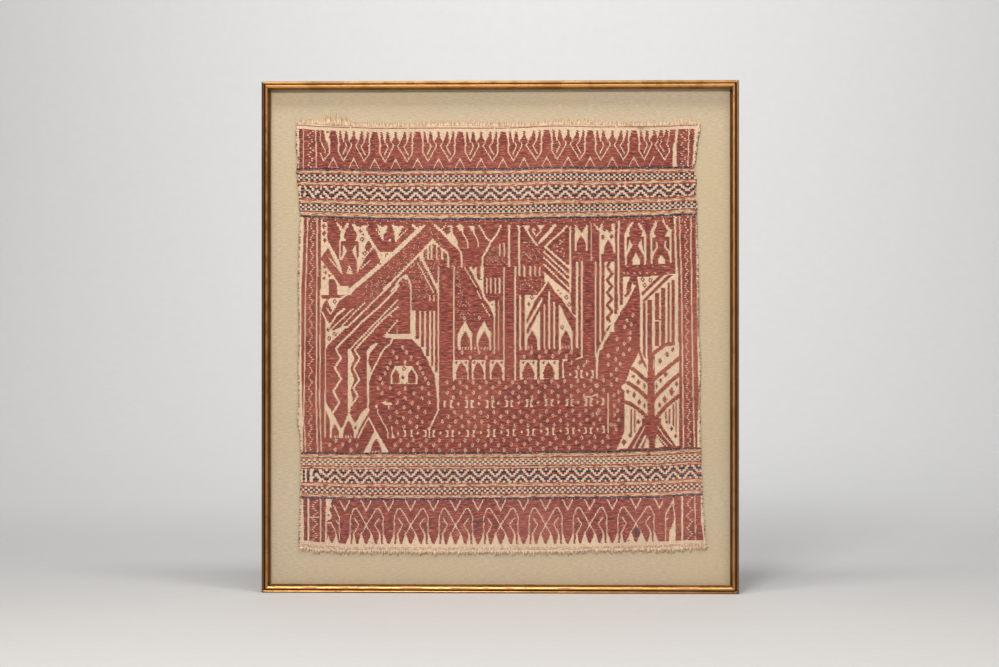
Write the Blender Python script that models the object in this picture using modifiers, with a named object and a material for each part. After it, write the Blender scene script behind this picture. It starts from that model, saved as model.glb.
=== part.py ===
"""A tampan, the ceremonial ship cloth of Lampung, sewn on linen in a glazed gilt frame.

Metres, +Z up. The frame stands on its bottom rail and faces -Y. The origin is under its
middle, on the surface that it stands on, so Y = 0 is half-way through the frame's depth.
"""

from math import cos, pi, radians, sin
from random import Random

import bmesh
import bpy
from mathutils import Matrix, Vector

# The frame
FRAME_WIDTH = 0.764
FRAME_HEIGHT = 0.820
FRAME_DEPTH = 0.034
FACE_WIDTH = 0.014
MITRE_GAP = 0.0003

# The rail's section, as widths from its outer side and depths from its front
OUTER_BEAD_RADIUS = 0.0022
OUTER_BEAD_DROP = 0.0010
GROOVE_START = 0.0049
GROOVE_END = 0.0056
GROOVE_DEPTH = 0.0050
INNER_BEAD_RADIUS = 0.0024
INNER_BEAD_CENTRE = 0.0080
SLOPE_FOOT = 0.0134
SLOPE_DEPTH = 0.0062
LIP_NOSE_DEPTH = 0.0068
LIP_BACK = 0.0080
GLASS_REBATE_WIDTH = 0.0040
BOARD_REBATE_WIDTH = 0.0075
BOARD_SHOULDER = 0.0165
BEAD_STEPS = 5

# What the frame holds, front to back
PIECE_GAP = 0.0003
GLASS_THICKNESS = 0.0020
LINEN_THICKNESS = 0.0010
BOARD_THICKNESS = 0.0060
EDGE_CLEARANCE = 0.0010

# The tampan
CLOTH_THICKNESS = 0.0015
CLOTH_CLEARANCE = 0.0005
CLOTH_TOP = 0.7489
CLOTH_FOOT = 0.0694
CELLS_ACROSS = 30
CELLS_UP = 50
BROAD_SWELL = 0.0009
CROSS_SWELL = 0.0007

# Where the two selvedges run, as X at each height
SELVEDGES = (
    {"height": 0.0680, "left": -0.3234, "right": 0.3327},
    {"height": 0.1000, "left": -0.3226, "right": 0.3287},
    {"height": 0.1480, "left": -0.3211, "right": 0.3250},
    {"height": 0.2190, "left": -0.3202, "right": 0.3222},
    {"height": 0.2450, "left": -0.3211, "right": 0.3215},
    {"height": 0.2730, "left": -0.3256, "right": 0.3212},
    {"height": 0.3090, "left": -0.3235, "right": 0.3206},
    {"height": 0.3650, "left": -0.3246, "right": 0.3215},
    {"height": 0.4150, "left": -0.3231, "right": 0.3186},
    {"height": 0.4850, "left": -0.3245, "right": 0.3184},
    {"height": 0.5880, "left": -0.3228, "right": 0.3160},
    {"height": 0.6050, "left": -0.3205, "right": 0.3149},
    {"height": 0.6200, "left": -0.3225, "right": 0.3169},
    {"height": 0.6350, "left": -0.3235, "right": 0.3134},
    {"height": 0.6640, "left": -0.3255, "right": 0.3150},
    {"height": 0.6790, "left": -0.3275, "right": 0.3107},
    {"height": 0.6940, "left": -0.3251, "right": 0.3138},
    {"height": 0.7180, "left": -0.3279, "right": 0.3165},
    {"height": 0.7460, "left": -0.3280, "right": 0.3214},
)

# How far the top end stands above CLOTH_TOP, across the cloth
TOP_RISES = (
    {"across": -0.3300, "rise": 0.0032},
    {"across": -0.3040, "rise": 0.0032},
    {"across": -0.2480, "rise": -0.0003},
    {"across": -0.1850, "rise": -0.0021},
    {"across": -0.0710, "rise": 0.0000},
    {"across": 0.0250, "rise": -0.0024},
    {"across": 0.1130, "rise": 0.0016},
    {"across": 0.2180, "rise": -0.0016},
    {"across": 0.3220, "rise": 0.0016},
)

# How far the foot end stands above CLOTH_FOOT, across the cloth
FOOT_RISES = (
    {"across": -0.3240, "rise": 0.0032},
    {"across": -0.2880, "rise": 0.0000},
    {"across": -0.2400, "rise": -0.0016},
    {"across": -0.0790, "rise": -0.0024},
    {"across": 0.0730, "rise": -0.0016},
    {"across": 0.1770, "rise": 0.0016},
    {"across": 0.2740, "rise": 0.0032},
    {"across": 0.3330, "rise": 0.0064},
)

# The frayed ends of the warp, beyond a narrow strip at each end of the cloth
FRINGE_THICKNESS = 0.0011
FRINGE_GAP = 0.0009
STRIP_HEIGHT = 0.0028
LOCKS_PER_END = 132
LOCK_ROOT_SHARE = 0.78
LOCK_TIP_SHARE = 0.46
TOP_LOCK_LENGTH = 0.0084
FOOT_LOCK_LENGTH = 0.0076
SHORTEST_LOCK = 0.82
LONGEST_LOCK = 1.10
TUFT_MIDDLE = -0.2630
TUFT_HALF_WIDTH = 0.030
TUFT_LENGTH = 0.0115
LOCK_LEAN = 0.0009

GILT = (0.50, 0.28, 0.09)
GLASS = (0.86, 0.86, 0.90)
LINEN = (0.52, 0.45, 0.31)
GREY_BOARD = (0.42, 0.36, 0.28)
MADDER = (0.33, 0.07, 0.06)
RAW_COTTON = (0.66, 0.50, 0.33)


def clear_scene():
    for thing in list(bpy.data.objects):
        bpy.data.objects.remove(thing, do_unlink=True)


def material(name, colour, roughness, metallic=0.0, alpha=1.0):
    made = bpy.data.materials.new(name)
    made.use_nodes = True
    shader = made.node_tree.nodes["Principled BSDF"]
    shader.inputs["Base Color"].default_value = (*colour, 1.0)
    shader.inputs["Roughness"].default_value = roughness
    shader.inputs["Metallic"].default_value = metallic
    shader.inputs["Alpha"].default_value = alpha
    return made


def add_object(name, mesh, finish, collection):
    made = bpy.data.objects.new(name, mesh)
    mesh.materials.clear()
    mesh.materials.append(finish)
    collection.objects.link(made)
    return made


def depth(from_front):
    """The Y of a plane that lies this far behind the frame's front."""
    return from_front - FRAME_DEPTH / 2


def arc(centre, radius, start, end, steps):
    """Points on a circle, from one angle in degrees to another."""
    turns = [radians(start + (end - start) * step / steps) for step in range(steps + 1)]
    return [(centre[0] + radius * cos(t), centre[1] - radius * sin(t)) for t in turns]


def rail_section():
    """The rail's outline, as (width from the outer side, depth from the front)."""
    outer_centre = (OUTER_BEAD_RADIUS, OUTER_BEAD_DROP + OUTER_BEAD_RADIUS)
    inner_centre = (INNER_BEAD_CENTRE, INNER_BEAD_RADIUS)
    board_side = FACE_WIDTH - BOARD_REBATE_WIDTH
    glass_side = FACE_WIDTH - GLASS_REBATE_WIDTH
    return [
        (0.0, FRAME_DEPTH),
        *arc(outer_centre, OUTER_BEAD_RADIUS, 180, 30, BEAD_STEPS),
        (GROOVE_START, GROOVE_DEPTH),
        (GROOVE_END, GROOVE_DEPTH),
        *arc(inner_centre, INNER_BEAD_RADIUS, 180, 30, BEAD_STEPS),
        (SLOPE_FOOT, SLOPE_DEPTH),
        (FACE_WIDTH, LIP_NOSE_DEPTH),
        (FACE_WIDTH, LIP_BACK),
        (glass_side, LIP_BACK),
        (glass_side, BOARD_SHOULDER),
        (board_side, BOARD_SHOULDER),
        (board_side, FRAME_DEPTH),
    ]


def flat_outline(name, points, thickness):
    """A closed mesh of a flat outline in XY, extruded half its thickness each way in Z."""
    curve = bpy.data.curves.new(name, "CURVE")
    curve.dimensions = "2D"
    curve.fill_mode = "BOTH"
    curve.extrude = thickness / 2
    line = curve.splines.new("POLY")
    line.points.add(len(points) - 1)
    line.use_cyclic_u = True
    for point, (x, y) in zip(line.points, points):
        point.co = (x, y, 0.0, 1.0)
    holder = bpy.data.objects.new(name + "_outline", curve)
    bpy.context.scene.collection.objects.link(holder)
    graph = bpy.context.evaluated_depsgraph_get()
    mesh = bpy.data.meshes.new_from_object(holder.evaluated_get(graph))
    bpy.data.objects.remove(holder, do_unlink=True)
    bpy.data.curves.remove(curve)
    shape = bmesh.new()
    shape.from_mesh(mesh)
    bmesh.ops.remove_doubles(shape, verts=shape.verts, dist=1e-6)
    bmesh.ops.recalc_face_normals(shape, faces=shape.faces)
    shape.to_mesh(mesh)
    shape.free()
    mesh.name = name
    return mesh


def mitre(mesh, half_length):
    """Cuts both ends of a rail at 45 degrees, through its outer corners."""
    shape = bmesh.new()
    shape.from_mesh(mesh)
    for end in (1, -1):
        everything = [*shape.verts, *shape.edges, *shape.faces]
        corner = Vector((0.0, 0.0, end * (half_length - MITRE_GAP)))
        outward = Vector((1.0, 0.0, end)).normalized()
        bmesh.ops.bisect_plane(
            shape, geom=everything, plane_co=corner, plane_no=outward, clear_outer=True
        )
        rim = [edge for edge in shape.edges if edge.is_boundary]
        bmesh.ops.holes_fill(shape, edges=rim, sides=0)
    bmesh.ops.recalc_face_normals(shape, faces=shape.faces)
    shape.to_mesh(mesh)
    shape.free()
    mesh.shade_smooth()
    mesh.set_sharp_from_angle(angle=radians(35))


def make_rail(name, length, quarter_turns, reach, finish, collection):
    """One side of the frame. Its inward direction turns from +Z, at the foot, about Y."""
    mesh = flat_outline(name, rail_section(), length + 2 * FACE_WIDTH)
    mitre(mesh, length / 2)
    rail = add_object(name, mesh, finish, collection)
    inward_up = Matrix(((0, 0, -1), (0, 1, 0), (1, 0, 0))).to_4x4()
    turned = Matrix.Rotation(quarter_turns * pi / 2, 4, "Y") @ inward_up
    inward = turned.to_3x3() @ Vector((1, 0, 0))
    centre = Vector((0.0, depth(0.0), FRAME_HEIGHT / 2))
    rail.matrix_world = Matrix.Translation(centre - inward * reach) @ turned
    return rail


def make_frame(collection):
    gilt = material("gilt_wood", GILT, 0.38, metallic=0.85)
    sides = (
        ("rail_bottom", FRAME_WIDTH, 0, FRAME_HEIGHT / 2),
        ("rail_left", FRAME_HEIGHT, 1, FRAME_WIDTH / 2),
        ("rail_top", FRAME_WIDTH, 2, FRAME_HEIGHT / 2),
        ("rail_right", FRAME_HEIGHT, 3, FRAME_WIDTH / 2),
    )
    for name, length, quarter_turns, reach in sides:
        make_rail(name, length, quarter_turns, reach, gilt, collection)


def make_panel(name, side_inset, front, thickness, finish, collection):
    """A flat rectangular sheet that reaches to side_inset from the frame's outer sides."""
    width = FRAME_WIDTH - 2 * side_inset
    height = FRAME_HEIGHT - 2 * side_inset
    middle = (0.0, depth(front + thickness / 2), FRAME_HEIGHT / 2)
    bpy.ops.mesh.primitive_cube_add(size=1.0, location=middle)
    panel = bpy.context.object
    panel.name = name
    panel.data.name = name
    panel.data.transform(Matrix.Diagonal((width, thickness, height, 1.0)))
    panel.data.materials.append(finish)
    for holder in list(panel.users_collection):
        holder.objects.unlink(panel)
    collection.objects.link(panel)
    return panel


def read_along(table, key, column, at):
    """A column's value between a table's rows, eased from each row to the next."""
    if at <= table[0][key]:
        return table[0][column]
    for low, high in zip(table, table[1:]):
        if at <= high[key]:
            share = (at - low[key]) / (high[key] - low[key])
            eased = (1 - cos(pi * share)) / 2
            return low[column] + (high[column] - low[column]) * eased
    return table[-1][column]


def top_edge(x):
    return CLOTH_TOP + read_along(TOP_RISES, "across", "rise", x)


def foot_edge(x):
    return CLOTH_FOOT + read_along(FOOT_RISES, "across", "rise", x)


def left_edge(z):
    return read_along(SELVEDGES, "height", "left", z)


def right_edge(z):
    return read_along(SELVEDGES, "height", "right", z)


def linen_front():
    return BOARD_SHOULDER + PIECE_GAP


def swell(x, z):
    """How far the cloth's front stands off, because it is sewn down and not stretched."""
    broad = (1 + sin(2 * pi * x / 0.290 + 0.8) * cos(2 * pi * z / 0.235 + 0.4)) / 2
    cross = (1 + sin(2 * pi * z / 0.118 + 5.0 * x)) / 2
    return BROAD_SWELL * broad + CROSS_SWELL * cross


def cloth_front(x, z):
    """The Y of the cloth's front."""
    standing = CLOTH_CLEARANCE + CLOTH_THICKNESS + swell(x, z)
    return depth(linen_front() - standing)


def place_on_cloth(across, up):
    """A point of the cloth's front, from shares of its width and height."""
    z = CLOTH_FOOT + up * (CLOTH_TOP - CLOTH_FOOT)
    x = left_edge(z) + across * (right_edge(z) - left_edge(z))
    z = foot_edge(x) + up * (top_edge(x) - foot_edge(x))
    return Vector((x, cloth_front(x, z), z))


def make_cloth(finish, collection):
    shape = bmesh.new()
    bmesh.ops.create_grid(shape, x_segments=CELLS_ACROSS, y_segments=CELLS_UP, size=0.5)
    for point in shape.verts:
        point.co = place_on_cloth(point.co.x + 0.5, point.co.y + 0.5)
    bmesh.ops.recalc_face_normals(shape, faces=shape.faces)
    if sum(face.normal.y for face in shape.faces) > 0:
        bmesh.ops.reverse_faces(shape, faces=shape.faces)
    mesh = bpy.data.meshes.new("tampan")
    shape.to_mesh(mesh)
    shape.free()
    mesh.shade_smooth()
    cloth = add_object("tampan", mesh, finish, collection)
    body = cloth.modifiers.new("body", "SOLIDIFY")
    body.thickness = CLOTH_THICKNESS
    body.offset = -1.0
    return cloth


def tuft(x):
    """From 0 to 1, how much the long tuft near the top left lengthens a lock."""
    share = (x - TUFT_MIDDLE) / TUFT_HALF_WIDTH
    return max(0.0, 1.0 - share * share)


def comb(edge, upward, length, chance):
    """The fringe's outline in XZ: a narrow strip along an end of the cloth, and its locks."""
    level = edge(0.0)
    start = left_edge(level)
    finish = right_edge(level)
    pitch = (finish - start) / LOCKS_PER_END
    half_root = LOCK_ROOT_SHARE * pitch / 2
    half_tip = LOCK_TIP_SHARE * pitch / 2

    def root(x):
        return edge(x) + upward * FRINGE_GAP

    root_side = [(start, root(start))]
    lock_side = [(start, root(start) + upward * STRIP_HEIGHT)]
    for count in range(LOCKS_PER_END):
        middle = start + (count + 0.5) * pitch
        strip = root(middle) + upward * STRIP_HEIGHT
        reach = length * chance.uniform(SHORTEST_LOCK, LONGEST_LOCK)
        if upward > 0:
            reach += TUFT_LENGTH * tuft(middle) * chance.uniform(0.7, 1.0)
        lean = LOCK_LEAN * chance.uniform(-1.0, 1.0)
        tip = strip + upward * reach
        root_side.append((middle, root(middle)))
        lock_side += [
            (middle - half_root, strip),
            (middle - half_tip + lean, tip),
            (middle + half_tip + lean, tip),
            (middle + half_root, strip),
        ]
    root_side.append((finish, root(finish)))
    lock_side.append((finish, root(finish) + upward * STRIP_HEIGHT))
    return root_side + lock_side[::-1]


def make_fringe(name, edge, upward, length, chance, finish, collection):
    """Frayed warps, flat on the linen, with their roots in a strip parted from the cloth."""
    outline = comb(edge, upward, length, chance)
    mesh = flat_outline(name, outline, FRINGE_THICKNESS)
    fringe = add_object(name, mesh, finish, collection)
    standing = linen_front() - CLOTH_CLEARANCE - FRINGE_THICKNESS / 2
    fringe.location = (0.0, depth(standing), 0.0)
    fringe.rotation_euler = (pi / 2, 0.0, 0.0)
    return fringe


def main():
    clear_scene()
    collection = bpy.data.collections.new("framed_tampan")
    bpy.context.scene.collection.children.link(collection)
    make_frame(collection)

    glass = material("coated_glass", GLASS, 0.03, alpha=0.12)
    linen = material("linen", LINEN, 0.9)
    board = material("grey_board", GREY_BOARD, 0.85)
    cloth = material("tampan_weave", MADDER, 0.9)
    warp = material("raw_cotton", RAW_COTTON, 0.95)

    glass_inset = FACE_WIDTH - GLASS_REBATE_WIDTH + PIECE_GAP
    board_inset = FACE_WIDTH - BOARD_REBATE_WIDTH + EDGE_CLEARANCE
    board_front = linen_front() + LINEN_THICKNESS + PIECE_GAP
    glass_front = LIP_BACK + PIECE_GAP
    make_panel("glass", glass_inset, glass_front, GLASS_THICKNESS, glass, collection)
    make_panel("linen", board_inset, linen_front(), LINEN_THICKNESS, linen, collection)
    make_panel("board", board_inset, board_front, BOARD_THICKNESS, board, collection)

    make_cloth(cloth, collection)
    chance = Random(7)
    make_fringe("fringe_top", top_edge, 1, TOP_LOCK_LENGTH, chance, warp, collection)
    make_fringe("fringe_foot", foot_edge, -1, FOOT_LOCK_LENGTH, chance, warp, collection)


main()
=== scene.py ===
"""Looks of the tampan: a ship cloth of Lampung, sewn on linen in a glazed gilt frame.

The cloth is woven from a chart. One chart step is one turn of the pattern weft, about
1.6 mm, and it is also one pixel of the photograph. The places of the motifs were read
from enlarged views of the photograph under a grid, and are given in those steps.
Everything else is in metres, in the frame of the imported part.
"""

from math import cos, pi, radians, sin
from random import Random

import bpy
import numpy as np
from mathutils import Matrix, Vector


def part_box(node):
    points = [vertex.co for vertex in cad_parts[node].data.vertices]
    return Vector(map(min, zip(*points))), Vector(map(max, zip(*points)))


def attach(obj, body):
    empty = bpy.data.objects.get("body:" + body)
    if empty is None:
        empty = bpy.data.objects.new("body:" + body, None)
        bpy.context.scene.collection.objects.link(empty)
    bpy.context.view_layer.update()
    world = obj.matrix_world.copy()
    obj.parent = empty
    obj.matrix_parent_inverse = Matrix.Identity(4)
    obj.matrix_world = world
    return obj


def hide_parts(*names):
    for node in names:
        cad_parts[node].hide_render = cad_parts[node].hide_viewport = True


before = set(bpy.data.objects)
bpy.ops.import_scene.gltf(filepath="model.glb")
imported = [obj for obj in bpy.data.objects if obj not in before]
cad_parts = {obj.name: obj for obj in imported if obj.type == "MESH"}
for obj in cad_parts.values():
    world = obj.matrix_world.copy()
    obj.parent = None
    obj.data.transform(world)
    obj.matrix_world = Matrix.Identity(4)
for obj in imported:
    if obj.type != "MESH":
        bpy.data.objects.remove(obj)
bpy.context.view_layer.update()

# The frame
FRAME_WIDTH = 0.764
FRAME_HEIGHT = 0.820
FRAME_DEPTH = 0.034

# What the frame holds, as depths behind its front
BOARD_SHOULDER = 0.0165
PIECE_GAP = 0.0003
LINEN_GROUND_THICKNESS = 0.00080
LINEN_LIFT = 0.00002
LINEN_UNEVEN = 0.00005

# The tampan
CLOTH_THICKNESS = 0.0015
CLOTH_GROUND_THICKNESS = 0.0011
CLOTH_CLEARANCE = 0.0005
CLOTH_TOP = 0.7489
CLOTH_FOOT = 0.0694
BROAD_SWELL = 0.0009
CROSS_SWELL = 0.0007

# Where the two selvedges run, as X at each height
SELVEDGES = np.array([
    (0.0680, -0.3234, 0.3327), (0.1000, -0.3226, 0.3287), (0.1480, -0.3211, 0.3250),
    (0.2190, -0.3202, 0.3222), (0.2450, -0.3211, 0.3215), (0.2730, -0.3256, 0.3212),
    (0.3090, -0.3235, 0.3206), (0.3650, -0.3246, 0.3215), (0.4150, -0.3231, 0.3186),
    (0.4850, -0.3245, 0.3184), (0.5880, -0.3228, 0.3160), (0.6050, -0.3205, 0.3149),
    (0.6200, -0.3225, 0.3169), (0.6350, -0.3235, 0.3134), (0.6640, -0.3255, 0.3150),
    (0.6790, -0.3275, 0.3107), (0.6940, -0.3251, 0.3138), (0.7180, -0.3279, 0.3165),
    (0.7460, -0.3280, 0.3214),
])

# How far each end stands above its level, across the cloth
TOP_RISES = np.array([
    (-0.3300, 0.0032), (-0.3040, 0.0032), (-0.2480, -0.0003), (-0.1850, -0.0021),
    (-0.0710, 0.0000), (0.0250, -0.0024), (0.1130, 0.0016), (0.2180, -0.0016),
    (0.3220, 0.0016),
])
FOOT_RISES = np.array([
    (-0.3240, 0.0032), (-0.2880, 0.0000), (-0.2400, -0.0016), (-0.0790, -0.0024),
    (0.0730, -0.0016), (0.1770, 0.0016), (0.2740, 0.0032), (0.3330, 0.0064),
])

# The fringes, with the fuller tuft near the left end of the head
TUFT_MIDDLE = -0.2630
TUFT_HALF_WIDTH = 0.030
TUFT_HEIGHT = 0.0130
THREAD_PITCH = 0.00019
THREAD_RADIUS = 0.00030

# The chart on the cloth. Its place 0, 0 is pixel 300, 120 of the photograph.
STEP = 0.0016064
CHART_MIDDLE = 199.5
CHART_ORIGIN_HEIGHT = 0.7586

# How far the weft has pulled down in places, in chart steps, for each row of the chart
# and across it
WAVE_PLACES = (0.0, 20.0, 50.0, 80.0, 130.0, 200.0, 260.0, 300.0, 350.0, 395.0)
WEFT_WAVES = (
    (11.5, (-3.5, -2.0, -1.0, 0.0, -0.3, 0.0, -2.0, -1.0, -1.0, -2.5)),
    (49.0, (-0.4, -0.6, -0.2, 0.8, 0.0, 0.0, -1.5, -0.8, -1.2, -1.3)),
    (88.0, (-2.7, -2.0, -1.0, -0.2, 0.0, 0.0, -1.5, -1.5, -2.7, -4.7)),
    (99.5, (-3.2, -2.7, -1.5, -0.5, 0.2, 0.0, -1.3, -1.5, -2.7, -4.7)),
    (115.0, (0.0, 0.0, 0.0, 0.0, 0.0, 0.0, 0.0, 0.0, 0.0, 0.0)),
    (300.0, (0.0, 0.0, 0.0, 0.0, 0.0, 0.0, 0.0, 0.0, 0.0, 0.0)),
    (315.0, (0.0, 0.0, 0.0, 0.0, 0.0, 0.0, -1.0, -1.5, -0.5, 0.0)),
    (332.5, (0.5, 0.5, 0.8, 0.5, 0.3, 0.0, -1.0, -1.2, -2.7, -5.2)),
    (379.0, (-1.0, -0.5, 0.7, 0.8, 0.6, 0.0, -0.8, -1.0, -2.1, -4.5)),
    (424.0, (-3.5, -1.5, 0.0, 0.0, 0.0, 0.0, -0.5, -1.5, -3.0, -4.5)),
)

# Yarns of the chart
COTTON = 0
MADDER = 1
INDIGO = 2
OCHRE = 3

# The chart's cells, its reach and the levels where its parts begin and end
CELLS_PER_STEP = 2
CHART_LEFT = -8
CHART_RIGHT = 410
CHART_TOP = 4
CHART_FOOT = 434

PANEL_TOP = 12.0
PANEL_FOOT = 48.6
FIELD_TOP = 100.0
FIELD_FOOT = 332.0
FOOT_PANEL_TOP = 379.4
FOOT_PANEL_FOOT = 424.0

# The floats: how far they reach past their cells in steps, and how high they stand in metres
FLOAT_SPREAD = 0.12
FLOAT_ROOT = 0.00004
FLOAT_SHORTEST = 0.0002
LONGEST_FLOAT = 30
MADDER_CREST = 0.00022
INDIGO_CREST = 0.00026
OCHRE_CREST = 0.00024

# The zigzag bands have seven rows, and their left ends are blocks, from and to, for each row
ZIGZAG_ROWS = 7
ZIGZAG_ROW = 1.88
UPPER_END = (
    ((1.0, 3.4), (5.6, 9.0), (12.0, 15.0), (17.0, 20.0)), ((0.4, 3.8), (6.6, 11.0), (14.0, 19.6)),
    ((0.4, 5.6), (8.8, 11.6), (13.4, 16.0), (18.2, 21.4)),
    ((0.0, 3.8), (5.0, 8.0), (10.4, 14.2), (19.6, 22.6)),
    ((0.6, 3.2), (6.0, 9.4), (12.6, 14.6), (16.6, 21.0)), ((0.4, 2.4), (5.2, 10.4), (13.8, 18.8)),
    ((1.4, 6.0), (8.6, 12.0), (15.0, 19.6)),
)
LOWER_END = (
    ((2.4, 4.0), (6.4, 9.6), (13.6, 18.0)), ((2.2, 4.4), (6.6, 9.2), (12.6, 18.4)),
    ((2.6, 4.2), (6.2, 9.0), (12.2, 14.6), (17.6, 20.2)),
    ((2.2, 4.4), (6.4, 9.4), (12.0, 14.2), (18.8, 21.6)),
    ((2.6, 4.2), (6.2, 9.2), (14.0, 16.6), (20.0, 22.8)), ((2.2, 4.4), (6.6, 8.8), (12.4, 18.6)),
    ((2.4, 4.2), (6.4, 9.0), (12.6, 18.0)),
)

# Where the end panels have their towers and the diamonds between them
TOP_TOWERS = (32.5, 74.0, 117.0, 159.5, 202.5, 246.0, 289.5, 333.0)
TOP_DIAMONDS = (53.0, 95.0, 138.0, 180.5, 223.5, 267.5, 311.5, 353.0)
FOOT_TOWERS = (44.0, 88.0, 133.0, 177.5, 223.0, 267.0, 311.5, 358.5)
FOOT_DIAMONDS = (65.5, 110.0, 155.0, 200.0, 245.0, 289.0, 335.0)

# The camera, level in front of the picture
CAMERA_DISTANCE = 3.77
CAMERA_HEIGHT = 0.4156
CAMERA_AZIMUTH = 1.7
CAMERA_LENS = 85.0

# The weave of both cloths, as metres to a pair of threads
COTTON_WEAVE = 0.0008
LINEN_WEAVE = 0.0009

# Stains: middle across and down, half width and half height in chart steps, and strength
STAINS = (
    (178.0, 401.5, 9.0, 1.5, 0.80), (178.0, 408.0, 7.0, 8.0, 0.28), (337.0, 411.0, 4.5, 6.0, 0.55),
    (340.0, 8.0, 5.0, 3.5, 0.45), (395.5, 413.5, 2.0, 4.0, 0.60), (328.0, 420.0, 1.6, 1.2, 0.60),
    (72.0, 423.0, 1.3, 1.0, 0.60), (30.0, 208.0, 1.4, 1.6, 0.60), (4.0, 60.0, 3.0, 3.0, 0.25),
)


class Thread:
    """A node's output. Sums on threads add Math nodes."""

    def __init__(self, finish, socket):
        self.finish = finish
        self.socket = socket

    def maths(self, operation, first, second=0.0):
        return self.finish.node("ShaderNodeMath", {"operation": operation}, {0: first, 1: second})

    def __add__(self, other):
        return self.maths("ADD", self, other)

    def __radd__(self, other):
        return self.maths("ADD", other, self)

    def __sub__(self, other):
        return self.maths("SUBTRACT", self, other)

    def __rsub__(self, other):
        return self.maths("SUBTRACT", other, self)

    def __mul__(self, other):
        return self.maths("MULTIPLY", self, other)

    def __rmul__(self, other):
        return self.maths("MULTIPLY", other, self)

    def __truediv__(self, other):
        return self.maths("DIVIDE", self, other)

    def wave(self):
        return self.maths("SINE", self)

    def size(self):
        return self.maths("ABSOLUTE", self)

    def least(self, other):
        return self.maths("MINIMUM", self, other)

    def most(self, other):
        return self.maths("MAXIMUM", self, other)

    def between(self, low, high):
        """0 below low and 1 above high, smooth in between."""
        settings = {"interpolation_type": "SMOOTHSTEP"}
        return self.finish.node("ShaderNodeMapRange", settings, {0: self, 1: low, 2: high})


class Finish:
    """The material of one of the pieces."""

    def __init__(self, name, **constants):
        self.material = bpy.data.materials.new(name)
        self.material.use_nodes = True
        self.tree = self.material.node_tree
        self.shader = self.tree.nodes["Principled BSDF"]
        for socket, value in constants.items():
            self.shader.inputs[socket.replace("_", " ").title()].default_value = value

    def node(self, kind, settings=None, sockets=None, output=0):
        made = self.tree.nodes.new(kind)
        for name, value in (settings or {}).items():
            setattr(made, name, value)
        for key, value in (sockets or {}).items():
            if isinstance(value, Thread):
                self.tree.links.new(value.socket, made.inputs[key])
            else:
                made.inputs[key].default_value = value
        return Thread(self, made.outputs[output])

    def place(self):
        """The point in metres, in the part's frame."""
        return self.node("ShaderNodeTexCoord", output="Object")

    def part_of_place(self, axis):
        return self.node("ShaderNodeSeparateXYZ", sockets={0: self.place()}, output=axis)

    def cloudy(self, per_metre, detail=2.0, roughness=0.5, shift=0.0):
        """Noise with this many features to a metre, along X, Y and Z."""
        moved = self.node("ShaderNodeVectorMath", {"operation": "MULTIPLY_ADD"},
                          {0: self.place(), 1: per_metre, 2: (shift, shift, shift)})
        return self.node("ShaderNodeTexNoise", sockets={
            "Vector": moved, "Scale": 1.0, "Detail": detail, "Roughness": roughness})

    def blend(self, share, first, second):
        """A colour between two."""
        first, second = (
            colour if isinstance(colour, Thread) else (*colour, 1.0) for colour in (first, second)
        )
        settings = {"data_type": "RGBA", "clamp_factor": True}
        return self.node("ShaderNodeMix", settings, {0: share, 6: first, 7: second}, output=2)

    def stained(self, cloth):
        """The colour with the cloth's stains in it."""
        x = self.part_of_place("X")
        z = self.part_of_place("Z")
        ragged = self.cloudy((220.0, 220.0, 220.0), detail=3.0, shift=8.0) * 0.8
        for across, down, half_width, half_height, strength in STAINS:
            right = (x - (across - CHART_MIDDLE) * STEP) / (half_width * STEP)
            up = (z - (CHART_ORIGIN_HEIGHT - down * STEP)) / (half_height * STEP)
            mark = 1 - (right * right + up * up + ragged).between(0.55, 1.45)
            cloth = self.blend(mark * strength, cloth, (0.055, 0.038, 0.028))
        return cloth

    def feed(self, socket, thread):
        self.tree.links.new(thread.socket, self.shader.inputs[socket])

    def raise_by(self, height, strength, reach):
        bump = self.node("ShaderNodeBump", sockets={
            "Height": height, "Strength": strength, "Distance": reach})
        self.feed("Normal", bump)


def weft_shift(across, down):
    """How far the weft has moved at a place of the chart, in steps."""
    rows = np.array([row for row, shifts in WEFT_WAVES])
    shifts = np.array([shifts for row, shifts in WEFT_WAVES])
    columns = np.array(WAVE_PLACES)
    column = np.clip(np.searchsorted(columns, across) - 1, 0, len(columns) - 2)
    share = np.clip((across - columns[column]) / (columns[column + 1] - columns[column]), 0, 1)
    share = (1 - np.cos(pi * share)) / 2
    row = np.clip(np.searchsorted(rows, down) - 1, 0, len(rows) - 2)
    along = np.clip((down - rows[row]) / (rows[row + 1] - rows[row]), 0, 1)
    upper = shifts[row, column] * (1 - share) + shifts[row, column + 1] * share
    lower = shifts[row + 1, column] * (1 - share) + shifts[row + 1, column + 1] * share
    return upper * (1 - along) + lower * along


def before_shift(*places):
    """The chart's own places, from where the pulled weft now shows them."""
    return [(u, v - float(weft_shift(np.array(u), np.array(v)))) for u, v in places]


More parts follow.
